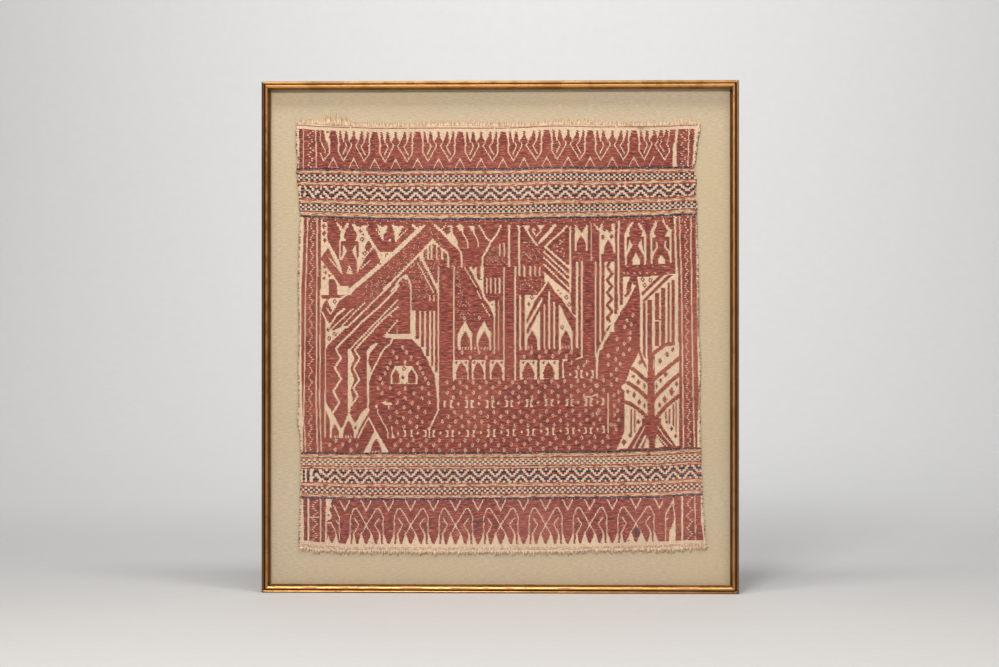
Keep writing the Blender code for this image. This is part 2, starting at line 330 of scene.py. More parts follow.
class Chart:
    """One yarn for each cell. Places are steps across from the left and down from the top."""

    def __init__(self):
        rows = (CHART_FOOT - CHART_TOP) * CELLS_PER_STEP
        columns = (CHART_RIGHT - CHART_LEFT) * CELLS_PER_STEP
        self.cells = np.full((rows, columns), COTTON, dtype=np.int8)
        self.across = CHART_LEFT + (np.arange(columns) + 0.5) / CELLS_PER_STEP
        self.down = CHART_TOP + (np.arange(rows) + 0.5) / CELLS_PER_STEP

    def block(self, left, top, right, bottom, yarn=COTTON):
        rows = (self.down > top) & (self.down < bottom)
        columns = (self.across > left) & (self.across < right)
        self.cells[np.ix_(rows, columns)] = yarn

    def post(self, middle, width, top, bottom, yarn=COTTON):
        self.block(middle - width / 2, top, middle + width / 2, bottom, yarn)

    def dot(self, across, down):
        self.block(across - 0.6, down - 0.6, across + 0.7, down + 0.7)

    def patch(self, corners, yarn=COTTON):
        """Fills an outline; a tall one goes by whole picks."""
        ends = corners[1:] + corners[:1]
        tall = max(y for x, y in corners) - min(y for x, y in corners) > 5
        for row, level in enumerate(self.down):
            level = np.floor(level) + 0.5 if tall else level
            crossings = sorted(
                ax + (level - ay) * (bx - ax) / (by - ay)
                for (ax, ay), (bx, by) in zip(corners, ends)
                if (ay <= level) != (by <= level)
            )
            for left, right in zip(crossings[::2], crossings[1::2]):
                self.cells[row, (self.across > left) & (self.across < right)] = yarn

    def line(self, points, width, yarn=COTTON):
        """A line of one width through its points; slanting ones go by whole picks."""
        reach = width / 2 - (0.10 if width > 1.4 else 0.0)
        for (ax, ay), (bx, by) in zip(points, points[1:]):
            rows = (self.down > min(ay, by) - reach) & (self.down < max(ay, by) + reach)
            columns = (self.across > min(ax, bx) - reach) & (self.across < max(ax, bx) + reach)
            v, u = np.meshgrid(self.down[rows], self.across[columns], indexing="ij")
            if abs(by - ay) > 3 and abs(bx - ax) > 1.5:
                v = np.floor(v) + 0.5
            length_squared = max((bx - ax) ** 2 + (by - ay) ** 2, 1e-6)
            share = np.clip(((u - ax) * (bx - ax) + (v - ay) * (by - ay)) / length_squared, 0, 1)
            near = np.hypot(u - ax - share * (bx - ax), v - ay - share * (by - ay)) < reach
            window = self.cells[np.ix_(rows, columns)]
            window[near] = yarn
            self.cells[np.ix_(rows, columns)] = window

    def lozenge(self, x, y, yarn=MADDER, half_width=1.4, half_height=1.8):
        self.patch(
            [(x, y - half_height), (x + half_width, y), (x, y + half_height), (x - half_width, y)],
            yarn,
        )

    def eye(self, x, y, rim=COTTON, heart=MADDER):
        """A small hollow lozenge, broader where it is madder on cotton."""
        broader = 0.5 if rim == MADDER else 0.0
        self.lozenge(x, y, rim, 1.7 + broader, 2.5 + broader / 2)
        self.lozenge(x, y, heart, 0.6 + broader, 1.1 + broader / 2)

    def stagger(self, top, bottom, chance):
        """Moves every other step of the picks along a little, so that edges come out toothed."""
        moved = 0
        for row, level in enumerate(self.down):
            if top < level < bottom:
                if level % 1 < 0.5:
                    moved = int(level) % 2 + (chance.random() < 0.2)
                self.cells[row] = np.roll(self.cells[row], moved)


def stripe(chart, top, bottom, yarn):
    chart.block(CHART_LEFT, top, CHART_RIGHT, bottom, yarn)


def check(chart, top, rows, yarn_pitch=5.35, first=-6.0):
    """Rows of blocks, each row half a pitch along from the last."""
    height = 2
    for count, yarn in enumerate(rows):
        start = first + (count % 2) * yarn_pitch / 2
        while start < CHART_RIGHT:
            level = top + count * height
            chart.block(start, level, start + 2.9, level + height - 0.1, yarn)
            start += yarn_pitch


def zigzag_band(chart, top, pitch, peak):
    """A coloured zigzag between two cotton ones, with small triangles over and under them."""
    for row in range(ZIGZAG_ROWS):
        share = np.abs(((chart.across - peak) / pitch + 0.5) % 1 - 0.5) * 2
        ramp = np.clip((share - 0.08) / 0.84, 0, 1)
        off = np.abs(row - (1 + 4 * ramp))
        coloured = (off < 1.06) | (off > 2.80)
        if row == 0:
            coloured &= share < 0.86
        if row == ZIGZAG_ROWS - 1:
            coloured &= share > 0.14
        level = top + row * ZIGZAG_ROW
        rows = (chart.down > level) & (chart.down < level + ZIGZAG_ROW)
        yarn = INDIGO if row % 2 else MADDER
        chart.cells[rows, :] = np.where(coloured, yarn, COTTON)[None, :]


def band_end(chart, top, dashes, inner):
    """The blocks at the left end of a zigzag band, given for each of its seven rows."""
    chart.block(CHART_LEFT, top, inner, top + ZIGZAG_ROWS * ZIGZAG_ROW)
    for row, places in enumerate(dashes):
        level = top + row * ZIGZAG_ROW
        for left, right in places:
            chart.block(left, level, right, level + ZIGZAG_ROW, INDIGO if row % 2 else MADDER)


def slubs(chart, top, bottom, yarn, share, longest, chance):
    """Short floats of one yarn strewn along the picks of a stripe."""
    down = top
    while down < bottom:
        across = CHART_LEFT + chance.uniform(0, longest)
        while across < CHART_RIGHT:
            length = chance.uniform(0.6, longest)
            chart.block(across, down, across + length, down + 0.5, yarn)
            across += length / share * chance.uniform(0.5, 1.5)
        down += 0.5


def dotted_zigzag(chart, points, top, bottom, reach, period):
    """A zigzag of single stitches beside a selvedge, along a line given as (down, across)."""
    downs = [point[0] for point in points]
    acrosses = [point[1] for point in points]
    level = top
    while level < bottom:
        swing = abs(((level - top) / period) % 1 - 0.5) * 4 - 1
        middle = float(np.interp(level, downs, acrosses))
        place = middle + reach * swing
        chart.post(place, 1.8, level, level + 1)
        level += 2.0


def ochre_stripe(chart, top, bottom):
    """An ochre stripe with a cotton pick through it."""
    stripe(chart, top, bottom, OCHRE)
    pick = top + (bottom - top) * 0.62
    stripe(chart, pick - 0.3, pick + 0.3, COTTON)


def worn_bands(chart, chance):
    """Slubs and rubbed places along the stripes."""
    for top, bottom in (
        (50.9, 53.4), (63, 65.6), (81.8, 84.8), (94.5, 98.2), (334.2, 337), (346.6, 348.2), (363.6, 366),
        (374.6, 377.2),
    ):
        slubs(chart, top, bottom, COTTON, 0.22, 6, chance)
        slubs(chart, top, bottom, MADDER, 0.16, 5, chance)
    for top in (48.6, 98.9, 332, 378.2):
        slubs(chart, top + 0.4, top + 1.2, COTTON, 0.14, 1.4, chance)
        slubs(chart, top + 0.9, top + 1.2, MADDER, 0.35, 3, chance)
    for top, bottom in (
        (53.6, 55.2), (61.6, 62.8), (65.8, 66.8), (80.4, 81.6), (85, 86.4), (93, 94.4), (337.2, 338.4),
        (345, 346.4), (362.4, 363.4), (366.2, 367.4), (373.9, 374.5),
    ):
        slubs(chart, top, bottom, COTTON, 0.12, 3, chance)


def upper_bands(chart):
    stripe(chart, PANEL_FOOT, 100.1, MADDER)
    stripe(chart, PANEL_FOOT, 49.8, INDIGO)
    ochre_stripe(chart, 50.9, 53.4)
    stripe(chart, 55.3, 61.4, COTTON)
    check(chart, 55.4, (INDIGO, MADDER, INDIGO))
    ochre_stripe(chart, 63.0, 65.6)
    zigzag_band(chart, 67.0, 18.7, 115.5)
    band_end(chart, 67.0, UPPER_END, 21.6)
    ochre_stripe(chart, 81.8, 84.8)
    stripe(chart, 86.5, 92.8, COTTON)
    check(chart, 86.7, (INDIGO, MADDER, INDIGO), first=-4.0)
    ochre_stripe(chart, 94.5, 98.2)
    stripe(chart, 98.7, 100.1, INDIGO)


def lower_bands(chart):
    stripe(chart, FIELD_FOOT, FOOT_PANEL_TOP, MADDER)
    stripe(chart, FIELD_FOOT, 333.4, INDIGO)
    ochre_stripe(chart, 334.2, 337.0)
    stripe(chart, 338.6, 344.9, COTTON)
    check(chart, 338.8, (MADDER, INDIGO, MADDER))
    ochre_stripe(chart, 346.6, 348.2)
    zigzag_band(chart, 349.2, 16.9, 119.1)
    band_end(chart, 349.2, LOWER_END, 21.0)
    ochre_stripe(chart, 363.6, 366.0)
    stripe(chart, 367.6, 373.7, COTTON)
    check(chart, 367.7, (MADDER, INDIGO, MADDER), first=-4.0)
    ochre_stripe(chart, 374.6, 377.2)
    stripe(chart, 378.2, FOOT_PANEL_TOP, INDIGO)


def top_half_unit(chart, tower, diamond):
    """From a tower to the diamond beside it, on either hand."""
    way = 1 if diamond > tower else -1
    near = tower + way * 5.2
    # The drips of the heading, with thin madder posts between them
    chart.patch([
        (tower + way * 1.9, 11), (near + way * 0.8, 11), (near + way * 0.6, 20), (near - way * 0.4, 20.5),
        (tower + way * 3.2, 16)])
    chart.patch([
        (tower + way * 7.4, 11), (tower + way * 12, 11), (tower + way * 11.6, 17.5),
        (tower + way * 10.6, 22), (tower + way * 9.8, 22), (tower + way * 8.2, 17)])
    chart.patch([
        (tower + way * 13.4, 11), (diamond - way * 0.8, 11), (diamond - way * 0.9, 16.8),
        (diamond - way * 3.4, 20.5), (diamond - way * 4.2, 22), (diamond - way * 5.4, 21),
        (tower + way * 14.4, 16)])
    # The tower's side, the V below it, the diamond's waist and the fold between them
    chart.line([
        (near, 19), (near, 32.7), (tower + way * 10.4, 41.2), (diamond - way * 2, 26.2),
        (diamond - way * 4.8, 21)], 1.2)
    chart.line([(tower + way * 10.2, 21.5), (tower + way * 13.7, 27), (tower + way * 9.8, 34.5)], 1.2)
    chart.patch([(near, 24), (near + way * 2, 25.6), (near, 27.2)])


def top_panel(chart):
    stripe(chart, PANEL_TOP, PANEL_FOOT, MADDER)
    for middle in TOP_TOWERS + TOP_DIAMONDS:
        chart.line([(middle - 4.8, 48), (middle, 38.8), (middle + 4.8, 48)], 1.2)
    for tower, diamond in zip(TOP_TOWERS, TOP_DIAMONDS):
        top_half_unit(chart, tower, diamond)
    for tower, diamond in zip(TOP_TOWERS[1:], TOP_DIAMONDS):
        top_half_unit(chart, tower, diamond)


def head_panel_ends(chart):
    """The borders at both ends of the head panel, and the half motifs beside them."""
    chart.block(CHART_LEFT, PANEL_TOP, 30.2, PANEL_FOOT, MADDER)
    chart.patch(before_shift((CHART_LEFT, 4), (-2, 4), (-1.6, 26), (-1.8, 49), (CHART_LEFT, 49)))
    chart.line(before_shift((2.4, 8), (2.6, 47.4)), 1)
    dotted_zigzag(chart, [(12, 9), (48, 9.6)], 13, 48, 2.6, 9)
    chart.line(before_shift((14.8, 8.6), (15.6, 48)), 1.3)
    chart.line(before_shift((19.5, 9), (19.5, 21), (24.5, 30), (24.3, 32.5)), 1.2)
    chart.line(before_shift((19.5, 33), (22.7, 40.5), (28.8, 32.5), (28.8, 19)), 1.2)
    chart.patch(before_shift((22.5, 9), (30.5, 9), (28.6, 16), (29.2, 30), (27.6, 26), (24, 17)))
    chart.lozenge(26.6, 13.6, MADDER, 2, 1.2)
    chart.line([(27.7, 48), (32.5, 38.8), (37.3, 48)], 1.2)
    chart.block(353.6, PANEL_TOP, CHART_RIGHT, PANEL_FOOT, MADDER)
    chart.line(before_shift((357, 20.5), (354, 25.5), (363.5, 40.5), (368.2, 32), (368.2, 29)), 1.2)
    chart.line(before_shift((360.5, 20), (358.8, 25.5), (363, 32.5)), 1.1)
    chart.line(before_shift((367, 20), (365.5, 25), (367.5, 27)), 1.1)
    chart.patch(before_shift((353.5, 9), (359.5, 9), (356.5, 20)))
    chart.patch(before_shift((361, 9), (365, 9), (362.5, 19)))
    chart.patch(before_shift((366.5, 9), (369.5, 9), (367.5, 21)))
    chart.patch(before_shift(
        (374.5, 9), (377.5, 9), (375.5, 25), (375.8, 48), (371.5, 48), (371.5, 28), (373.5, 22)))
    dotted_zigzag(chart, [(12, 382), (48, 382)], 13, 48, 2.6, 9)
    chart.line(before_shift((387.8, 9), (386.7, 48)), 1.3)
    chart.patch(before_shift((393.5, 4), (391.5, 40), (390, 49), (CHART_RIGHT, 49), (CHART_RIGHT, 4)))


def foot_panel_ends(chart):
    """The borders at both ends of the foot panel, and the half motifs beside them."""
    chart.block(CHART_LEFT, FOOT_PANEL_TOP, 41, FOOT_PANEL_FOOT, MADDER)
    chart.patch(before_shift((CHART_LEFT, 379), (2.4, 379), (2.8, 400), (2.8, 424), (CHART_LEFT, 424)))
    chart.line(before_shift((7.5, 379.6), (7.5, 423)), 1.9)
    dotted_zigzag(chart, [(380, 13.5), (424, 13.5)], 381, 424, 2.6, 12)
    chart.line(before_shift((9, 397.5), (18, 397.5)), 1)
    chart.line(before_shift((19.8, 379.6), (19.8, 423)), 1.5)
    chart.patch(before_shift(
        (25, 379), (31.5, 379), (30, 384), (31, 386), (28.5, 390), (30.5, 394), (31, 396), (29.5, 400),
        (26, 401), (25.8, 424), (24, 424)))
    chart.lozenge(27.5, 396, MADDER, 1.2, 1.2)
    chart.line(before_shift((26, 403), (30.5, 403), (35, 413), (35.5, 417)), 1.2)
    chart.line(before_shift((33, 386), (36, 392), (38.5, 398), (38.6, 420)), 1.2)
    chart.line(before_shift((35.5, 401), (37.5, 404)), 1.2)
    chart.line([(38.8, 380), (44, 390.2), (49.2, 380)], 1.2)
    chart.patch(before_shift((26, 424.5), (31, 424.5), (26.6, 414)))
    chart.patch(before_shift((31.4, 424.5), (38.4, 424.5), (35.3, 413.4)))
    chart.block(361.8, FOOT_PANEL_TOP, CHART_RIGHT, FOOT_PANEL_FOOT, MADDER)
    chart.line(before_shift((372, 380), (364.5, 394), (364.5, 420)), 1.3)
    chart.patch(before_shift((364.5, 396.4), (367.4, 398.5), (364.5, 400.6)))
    chart.line(before_shift((372, 378), (372.5, 388), (374, 400)), 1.3)
    chart.patch(before_shift(
        (373.8, 397), (374.6, 400), (374.6, 421), (367.8, 421), (367.8, 411), (370.5, 406)))
    chart.line(before_shift((381, 376), (381, 420)), 2.4)
    dotted_zigzag(chart, [(380, 388), (424, 388)], 381, 424, 2.6, 12)
    chart.line(before_shift((393.5, 376), (394.5, 420)), 1.2)
    chart.patch(before_shift(
        (399.5, 374.6), (399.5, 400), (402.5, 421), (CHART_RIGHT, 421), (CHART_RIGHT, 374.6)))


def heading_lines(chart, chance):
    """The brown thread near the head, and the rows of red stitches at the foot."""
    across = CHART_LEFT
    while across < CHART_RIGHT:
        for down in (427.5, 428.5, 429.5):
            if chance.random() < 0.72:
                start = across + chance.uniform(0.0, 0.9)
                chart.block(start, down, start + chance.choice((0.6, 1.1)), down + 0.5, MADDER)
        if chance.random() < 0.95:
            chart.block(across, 8.0, across + 1.1, 9.0, MADDER)
        across += 1.6


def foot_half_unit(chart, tower, diamond):
    way = 1 if diamond > tower else -1
    near = tower + way * 5.4
    # Cotton rises between the pointed madder feet
    chart.patch([
        (tower + way * 0.5, 425), (near + way * 0.3, 425), (near + way * 0.6, 414),
        (near - way * 0.6, 414)])
    chart.patch([
        (near + way * 1.9, 425), (near + way * 6.6, 425), (near + way * 3.9, 413.5),
        (near + way * 2.9, 413.5)])
    chart.patch([
        (near + way * 7.8, 425), (diamond - way * 0.5, 425), (diamond - way * 4.6, 414),
        (diamond - way * 5.8, 414)])
    crown = tower + way * 11
    chart.line([
        (near, 416), (near, 397), (crown - way * 1.8, 388.6), (crown, 387.8), (crown + way * 1.6, 388.8),
        (diamond, 405), (diamond + way * 5.2, 414.5)], 1.2)
    chart.line([(tower + way * 9.6, 398), (tower + way * 14, 404.5), (near + way * 3.4, 414.5)], 1.2)
    chart.patch([(near, 402.5), (near + way * 1.8, 404), (near, 405.5)])


def foot_panel(chart):
    stripe(chart, FOOT_PANEL_TOP, FOOT_PANEL_FOOT, MADDER)
    for middle in FOOT_TOWERS + FOOT_DIAMONDS:
        chart.line([(middle - 5, 380), (middle, 390.2), (middle + 5, 380)], 1.2)
    for tower, diamond in zip(FOOT_TOWERS, FOOT_DIAMONDS):
        foot_half_unit(chart, tower, diamond)
    for tower, diamond in zip(FOOT_TOWERS[1:], FOOT_DIAMONDS):
        foot_half_unit(chart, tower, diamond)


def speckle(chart, corners, pitch, chance):
    """Broken lozenges of single cotton stitches, strewn over an outline."""
    before = chart.cells.copy()
    mark = 99
    chart.patch(corners, mark)
    inside = chart.cells == mark
    chart.cells[:] = before
    right = max(x for x, y in corners)
    foot = max(y for x, y in corners)
    level = min(y for x, y in corners)
    while level < foot:
        place = min(x for x, y in corners) + chance.uniform(0, pitch)
        while place < right:
            for beside, below in ((0.0, -1.6), (0.0, 1.6), (-1.5, 0.0), (1.5, 0.0)):
                rows = np.abs(chart.down - level - below) < 0.45
                columns = np.abs(chart.across - place - beside) < 0.45
                spot = np.ix_(rows, columns)
                if chance.random() < 0.6 and inside[spot].size and inside[spot].all():
                    if (chart.cells[spot] == MADDER).all():
                        chart.cells[spot] = COTTON
            place += pitch * chance.uniform(0.8, 1.2)
        level += pitch * 0.62


def left_border(chart):
    """The cotton warp lines and the stitched zigzag beside the left selvedge."""
    chart.patch([
        (CHART_LEFT, 98), (3.3, 98), (2.3, 130), (0.5, 170), (0.5, 250), (1.2, 280), (2.2, 310),
        (2.2, 333), (CHART_LEFT, 333)])
    chart.line([
        (7, 98), (6, 130), (4.5, 170), (4.2, 215), (3.6, 250), (3.2, 280), (2.4, 302), (3.8, 310),
        (4.7, 333)], 1.5)
    chart.line([(16.4, 98), (15.6, 230), (15.3, 280), (16.7, 333)], 1.6)
    chart.line([(19.8, 170), (18.8, 280), (20.5, 333)], 1.3)
    chart.line([(24.5, 227), (24.4, 317)], 1.4)
    dotted_zigzag(chart, [(100, 11.2), (200, 9.5), (332, 9)], 101, 331, 2, 11.5)


def right_border(chart):
    chart.patch([
        (394.3, 98), (395.5, 180), (396.5, 250), (397.5, 275), (396, 305), (396, 333), (CHART_RIGHT, 333),
        (CHART_RIGHT, 98)])
    chart.line([(373.6, 98), (375.4, 156)], 2.4)
    chart.line([(375.5, 156), (375.5, 225)], 3)
    chart.line([(378.3, 98), (380.4, 170), (381.5, 260), (382.4, 333)], 1.4)
    chart.line([(389.5, 98), (390.5, 190), (392, 280), (393.5, 333)], 1.6)
    dotted_zigzag(chart, [(100, 384.4), (220, 385.2), (320, 387.6)], 101, 331, 1.5, 10)


def dancing_figures(chart):
    """The banner figures at the top left, between the border and the broad diagonal."""
    chart.patch([
        (20, 101.5), (21.6, 101.5), (22.2, 104), (26.3, 104), (26.8, 120), (38.6, 141), (41.5, 153.5),
        (38.5, 151), (27.4, 127.6), (20, 138)])
    for x, y in ((23, 107.3), (23.2, 113.5), (24.2, 120.2)):
        chart.lozenge(x, y, MADDER, 2, 2.6)
    chart.patch([
        (20, 139.5), (21.5, 141), (26.5, 148.5), (33.5, 156.5), (40, 166), (46.5, 165.5), (49.5, 168.5),
        (52, 165.5), (57, 165.5), (50, 175), (36.5, 175), (36, 164), (32.5, 158.5), (28, 159.5),
        (28, 175), (20, 175)])
    for x, y in ((23.3, 147), (24.6, 152.5), (28.4, 155.6), (23.4, 158.3)):
        chart.lozenge(x, y, MADDER, 1.7, 2)
    chart.line([(28.5, 138.5), (41, 153.5)], 1.3)
    # The upright figure: cotton shapes on both sides of a madder body
    chart.patch([
        (35, 104), (37.2, 104.2), (42.2, 109.6), (45.8, 104), (47.6, 103.4), (48.6, 105), (44.6, 110.5),
        (43, 116.5), (45.6, 120.8), (39.4, 120.8), (39.5, 111)])
    chart.line([(39.3, 120), (39.2, 139)], 1.1)
    chart.patch([(42.4, 124), (46.2, 130.6), (42.6, 138), (40.2, 141), (38.4, 139), (41.6, 136)])
    chart.patch([(55.2, 124.2), (51.4, 130.6), (53.8, 136), (55.9, 141), (56, 137)])
    chart.patch([(48.4, 143.6), (45.1, 154.4), (52, 154.4)])
    chart.lozenge(48.2, 149.3, MADDER, 0.8, 1.1)
    chart.patch([
        (50.5, 104.6), (53.2, 104.8), (58.6, 108), (61, 106.6), (68.2, 105.2), (65, 109), (72, 121),
        (79.6, 133), (83.5, 142.5), (80.5, 143.5), (75, 130), (72.5, 128.2), (64, 138.5), (58.4, 149),
        (56, 155), (55.9, 138), (58, 137), (58, 121.8), (54.4, 121), (56.4, 115.5)])
    for x, y, size in ((59.5, 111.2, 2.2), (62.6, 114.6, 1.2), (62.2, 138.5, 1.2)):
        chart.lozenge(x, y, MADDER, size, size)
    for x, y in ((61.4, 119.2), (64, 133.4)):
        chart.lozenge(x, y, MADDER, 2.6, 2.8)
        chart.lozenge(x, y, COTTON, 1.2, 1.3)
    chart.patch([(64, 127), (67.4, 120.4), (70.6, 124), (71, 127.4), (68, 131.8), (65.5, 131)], MADDER)
    chart.line([(69.8, 140), (59.6, 149)], 1.3)
    chart.patch([(79.5, 132.4), (92, 132), (98.5, 129.6), (84, 143.5)])
    chart.eye(86.4, 135.2, MADDER, COTTON)


def seated_pair(chart):
    """Two cotton triangles hung from the top edge, with a loose strand each."""
    chart.patch([
        (76, 104), (79, 105.8), (82, 107), (87.4, 105.6), (85, 112.5), (83.2, 114), (83, 121.8),
        (80, 116)])
    chart.line([(75.4, 109), (82.4, 120)], 1.2)
    chart.patch([
        (90.6, 104.4), (94.6, 105.8), (98.2, 106.6), (103.2, 106), (99, 113), (96, 121.6), (94.4, 121.6),
        (93.6, 113)])
    chart.line([(106.6, 109), (97, 119)], 1.2)
    chart.block(88, 119, 90.4, 121.6)


def broad_diagonal(chart):
    chart.line([(50, 170), (57, 164.5), (98, 129), (120, 108)], 4.6)
    chart.line([(112.5, 105.5), (118, 110.5)], 3)
    chart.line([(117, 110.5), (124, 105.5)], 2.4)
    chart.lozenge(79.5, 144.2, MADDER, 1.3, 1.3)


def roof_and_combs(chart):
    """The pitched roof over its posts, and the long lines that run out from it."""
    chart.line([(83, 169), (90, 163), (121.5, 131.5)], 2.5)
    chart.patch([
        (132.3, 118.4), (124, 127), (119, 133), (119, 140), (122, 142.5), (123.4, 142), (123, 131),
        (127, 127.6), (132.5, 123.4), (137, 126.8), (140, 126.4), (134.5, 121)])
    chart.line([(140.6, 128.4), (144.4, 131), (147.2, 133.5), (147.7, 147)], 2.1)
    for across, top in ((127.5, 127), (131, 123), (136.2, 124), (141.4, 129)):
        chart.post(across, 1.8, top, 140)
    chart.line([(122.4, 141), (136.5, 168), (137.6, 172)], 3)
    chart.line([(117, 143), (133, 172.5)], 1.4)
    chart.line([(134.6, 105.6), (144, 114.5), (151.5, 122.5), (157, 127.5)], 3)
    chart.patch([(145.6, 116.2), (151, 110.6), (157.6, 122.4), (156.4, 127.4)])
    chart.line([(157, 127), (161, 134), (161, 147)], 1.9)
    chart.block(149.4, 105.4, 151.8, 113)
    chart.block(146.8, 105.4, 150, 107)
    chart.line([(141.4, 109.4), (145.2, 105)], 1.2)
    chart.patch([(155, 106), (160, 104), (163.2, 106.8), (162.6, 113), (159.6, 111)])
    chart.line([(161.5, 112), (167, 121.4), (167.4, 128)], 1.7)
    chart.patch([(168, 106.4), (174, 106), (174.2, 112.6), (171.2, 111.4)])
    chart.line([(172.8, 112), (177.4, 121), (177.8, 126.6)], 1.7)
    chart.line([(178.8, 106), (185.8, 118), (190, 121.4)], 1.9)
    chart.line([(200, 106), (196, 115), (190.8, 121.4)], 2.1)
    chart.line([(190.2, 121), (188.8, 126), (182, 137.4), (181.6, 147)], 2.2)
    chart.block(179.6, 146, 183, 159)
    chart.patch([
        (167.6, 146.6), (170.2, 146.8), (172.6, 149.8), (174, 147), (176.2, 147), (176.2, 157.4),
        (178.4, 160.6), (183, 159), (182.8, 171), (180.4, 170)])
    chart.line([(163.4, 147.2), (175.6, 167)], 1.3)


def hourglass(chart, left, right, top, foot):
    """Two cotton shapes that meet at a waist, with a madder house between their feet."""
    middle = (left + right) / 2
    waist = top + 9
    for side in (left, right):
        way = 1 if side < middle else -1
        chart.patch([
            (side, top), (side + way * 1.4, top + 0.5), (middle, waist - 0.8), (middle, waist + 0.8),
            (side + way * 3, waist + 7), (side + way * 2, waist + 8.5), (side + way * 1.9, foot),
            (side, foot)])


def middle_banners(chart):
    """The posts, banners and folded pennants at the top middle."""
    for across, top, foot, width in (
        (199.3, 124, 136, 1.7), (203.7, 124, 136, 1.7), (208.6, 106, 147, 1.9), (218.4, 106, 156, 2),
        (223.4, 146, 157, 1.9), (229.4, 146, 156, 1.9), (234.3, 146, 156, 1.7), (238.6, 147, 156, 1.7),
    ):
        chart.post(across, width, top, foot)
    chart.block(206.8, 105.6, 210.2, 107.2)
    chart.block(207.2, 136.2, 208.6, 138)
    chart.patch([(215.8, 105.6), (217.8, 105.6), (219.4, 109), (217.6, 109)])
    chart.block(217, 136.2, 218.4, 138)
    chart.patch([(222, 106), (229.6, 106), (227.2, 110.5), (224.8, 110.5)])
    chart.line([(225.6, 110), (236, 125.4)], 2)
    chart.patch([
        (236, 126.4), (239.5, 119.5), (247.5, 111.5), (252, 106), (254, 104.8), (256.4, 106),
        (246.5, 117.5)])
    chart.patch([(236.4, 106), (244, 106), (241.2, 109.6), (239.4, 111)])
    chart.line([(235, 110.6), (232.6, 109.2), (231.6, 111.4), (235.8, 116.2), (240.4, 110.8)], 1.5)
    chart.line([(266.2, 106.6), (262, 111), (251, 120.6), (244.5, 127)], 2.1)
    chart.line([(244.6, 127), (269, 148.6)], 2.4)
    chart.patch([(264.5, 145.5), (270, 144.5), (270.4, 150.4), (268, 150)])
    for top, foot in ((132, 157), (138, 163), (144.6, 170.4)):
        chart.line([(243.4, top), (269.6, foot)], 1.9)
        chart.patch([(266.8, foot - 3.2), (270.4, foot - 4.6), (270.4, foot + 1.2)])
    chart.line([(269.6, 108), (269.6, 172)], 2)
    for across, down in (
        (259.8, 120.6), (263.4, 119.6), (261.2, 122.2), (259.2, 123.6), (253.4, 125.8), (256.8, 126.8),
        (261.6, 128.8), (256.6, 130.6), (259.8, 131.8), (263.4, 133.6), (263.2, 136.4),
    ):
        chart.dot(across, down)
    for across, down in (
        (224.8, 122.4), (222.4, 132.2), (225.6, 134.2), (235.4, 137.4), (230.4, 138.6), (226.4, 140.4),
        (224.4, 160.4), (235.4, 160.4), (222.4, 164.2), (228.6, 165.8), (231.6, 167.8),
    ):
        chart.dot(across, down)
    chart.patch([
        (243.2, 151.8), (247.2, 155.6), (270, 174.8), (270.8, 191.5), (273.6, 195.4), (276.8, 193.8),
        (276.8, 200.2), (271.8, 194.9), (265.2, 185.6), (261, 178.8), (253.5, 171.4), (248.4, 162.2),
        (247.2, 160.4), (243.4, 162.2)])
    chart.line([(247, 161), (242, 169), (235.4, 178)], 2.1)


def tall_posts(chart):
    """The two hourglasses, the stepped figure and the thin posts below them."""
    hourglass(chart, 274, 287, 105.5, 131)
    chart.line([(290.5, 105), (290.5, 141)], 1.7)
    chart.patch([
        (292.4, 105.4), (294.6, 105.6), (298.4, 109.4), (300.2, 105), (301.8, 105), (302.2, 112.4),
        (306.4, 110), (307.6, 113), (310.8, 112), (310.6, 105.4), (314, 105.4), (314.4, 133),
        (312.4, 133), (311.8, 126.8), (307.4, 119.6), (303.6, 126.8), (303, 134), (299, 134),
        (298.8, 113.4)])
    chart.lozenge(302, 117.4, MADDER, 2.2, 3.2)
    chart.lozenge(310.8, 116.8, MADDER, 2.2, 2.6)
    for across, top, foot, width in (
        (276.2, 142, 228, 2.2), (281, 141.5, 238, 1.8), (294.8, 142, 237, 1.7), (299.5, 114, 222, 1.8),
    ):
        chart.post(across, width, top, foot)
    chart.line([(318.2, 103.4), (317.6, 112), (317.8, 195)], 2.2)
    chart.block(303.4, 142, 313.6, 212)
    folds = [(309.4, 141)]
    level = 147.5
    while level < 214:
        folds += [(306.2, level), (311.2, level + 6.5)]
        level += 12.6
    chart.line(folds, 2.9, MADDER)
    chart.block(300.6, 140, 303.2, 214, MADDER)
    chart.block(313.8, 140, 316.4, 214, MADDER)


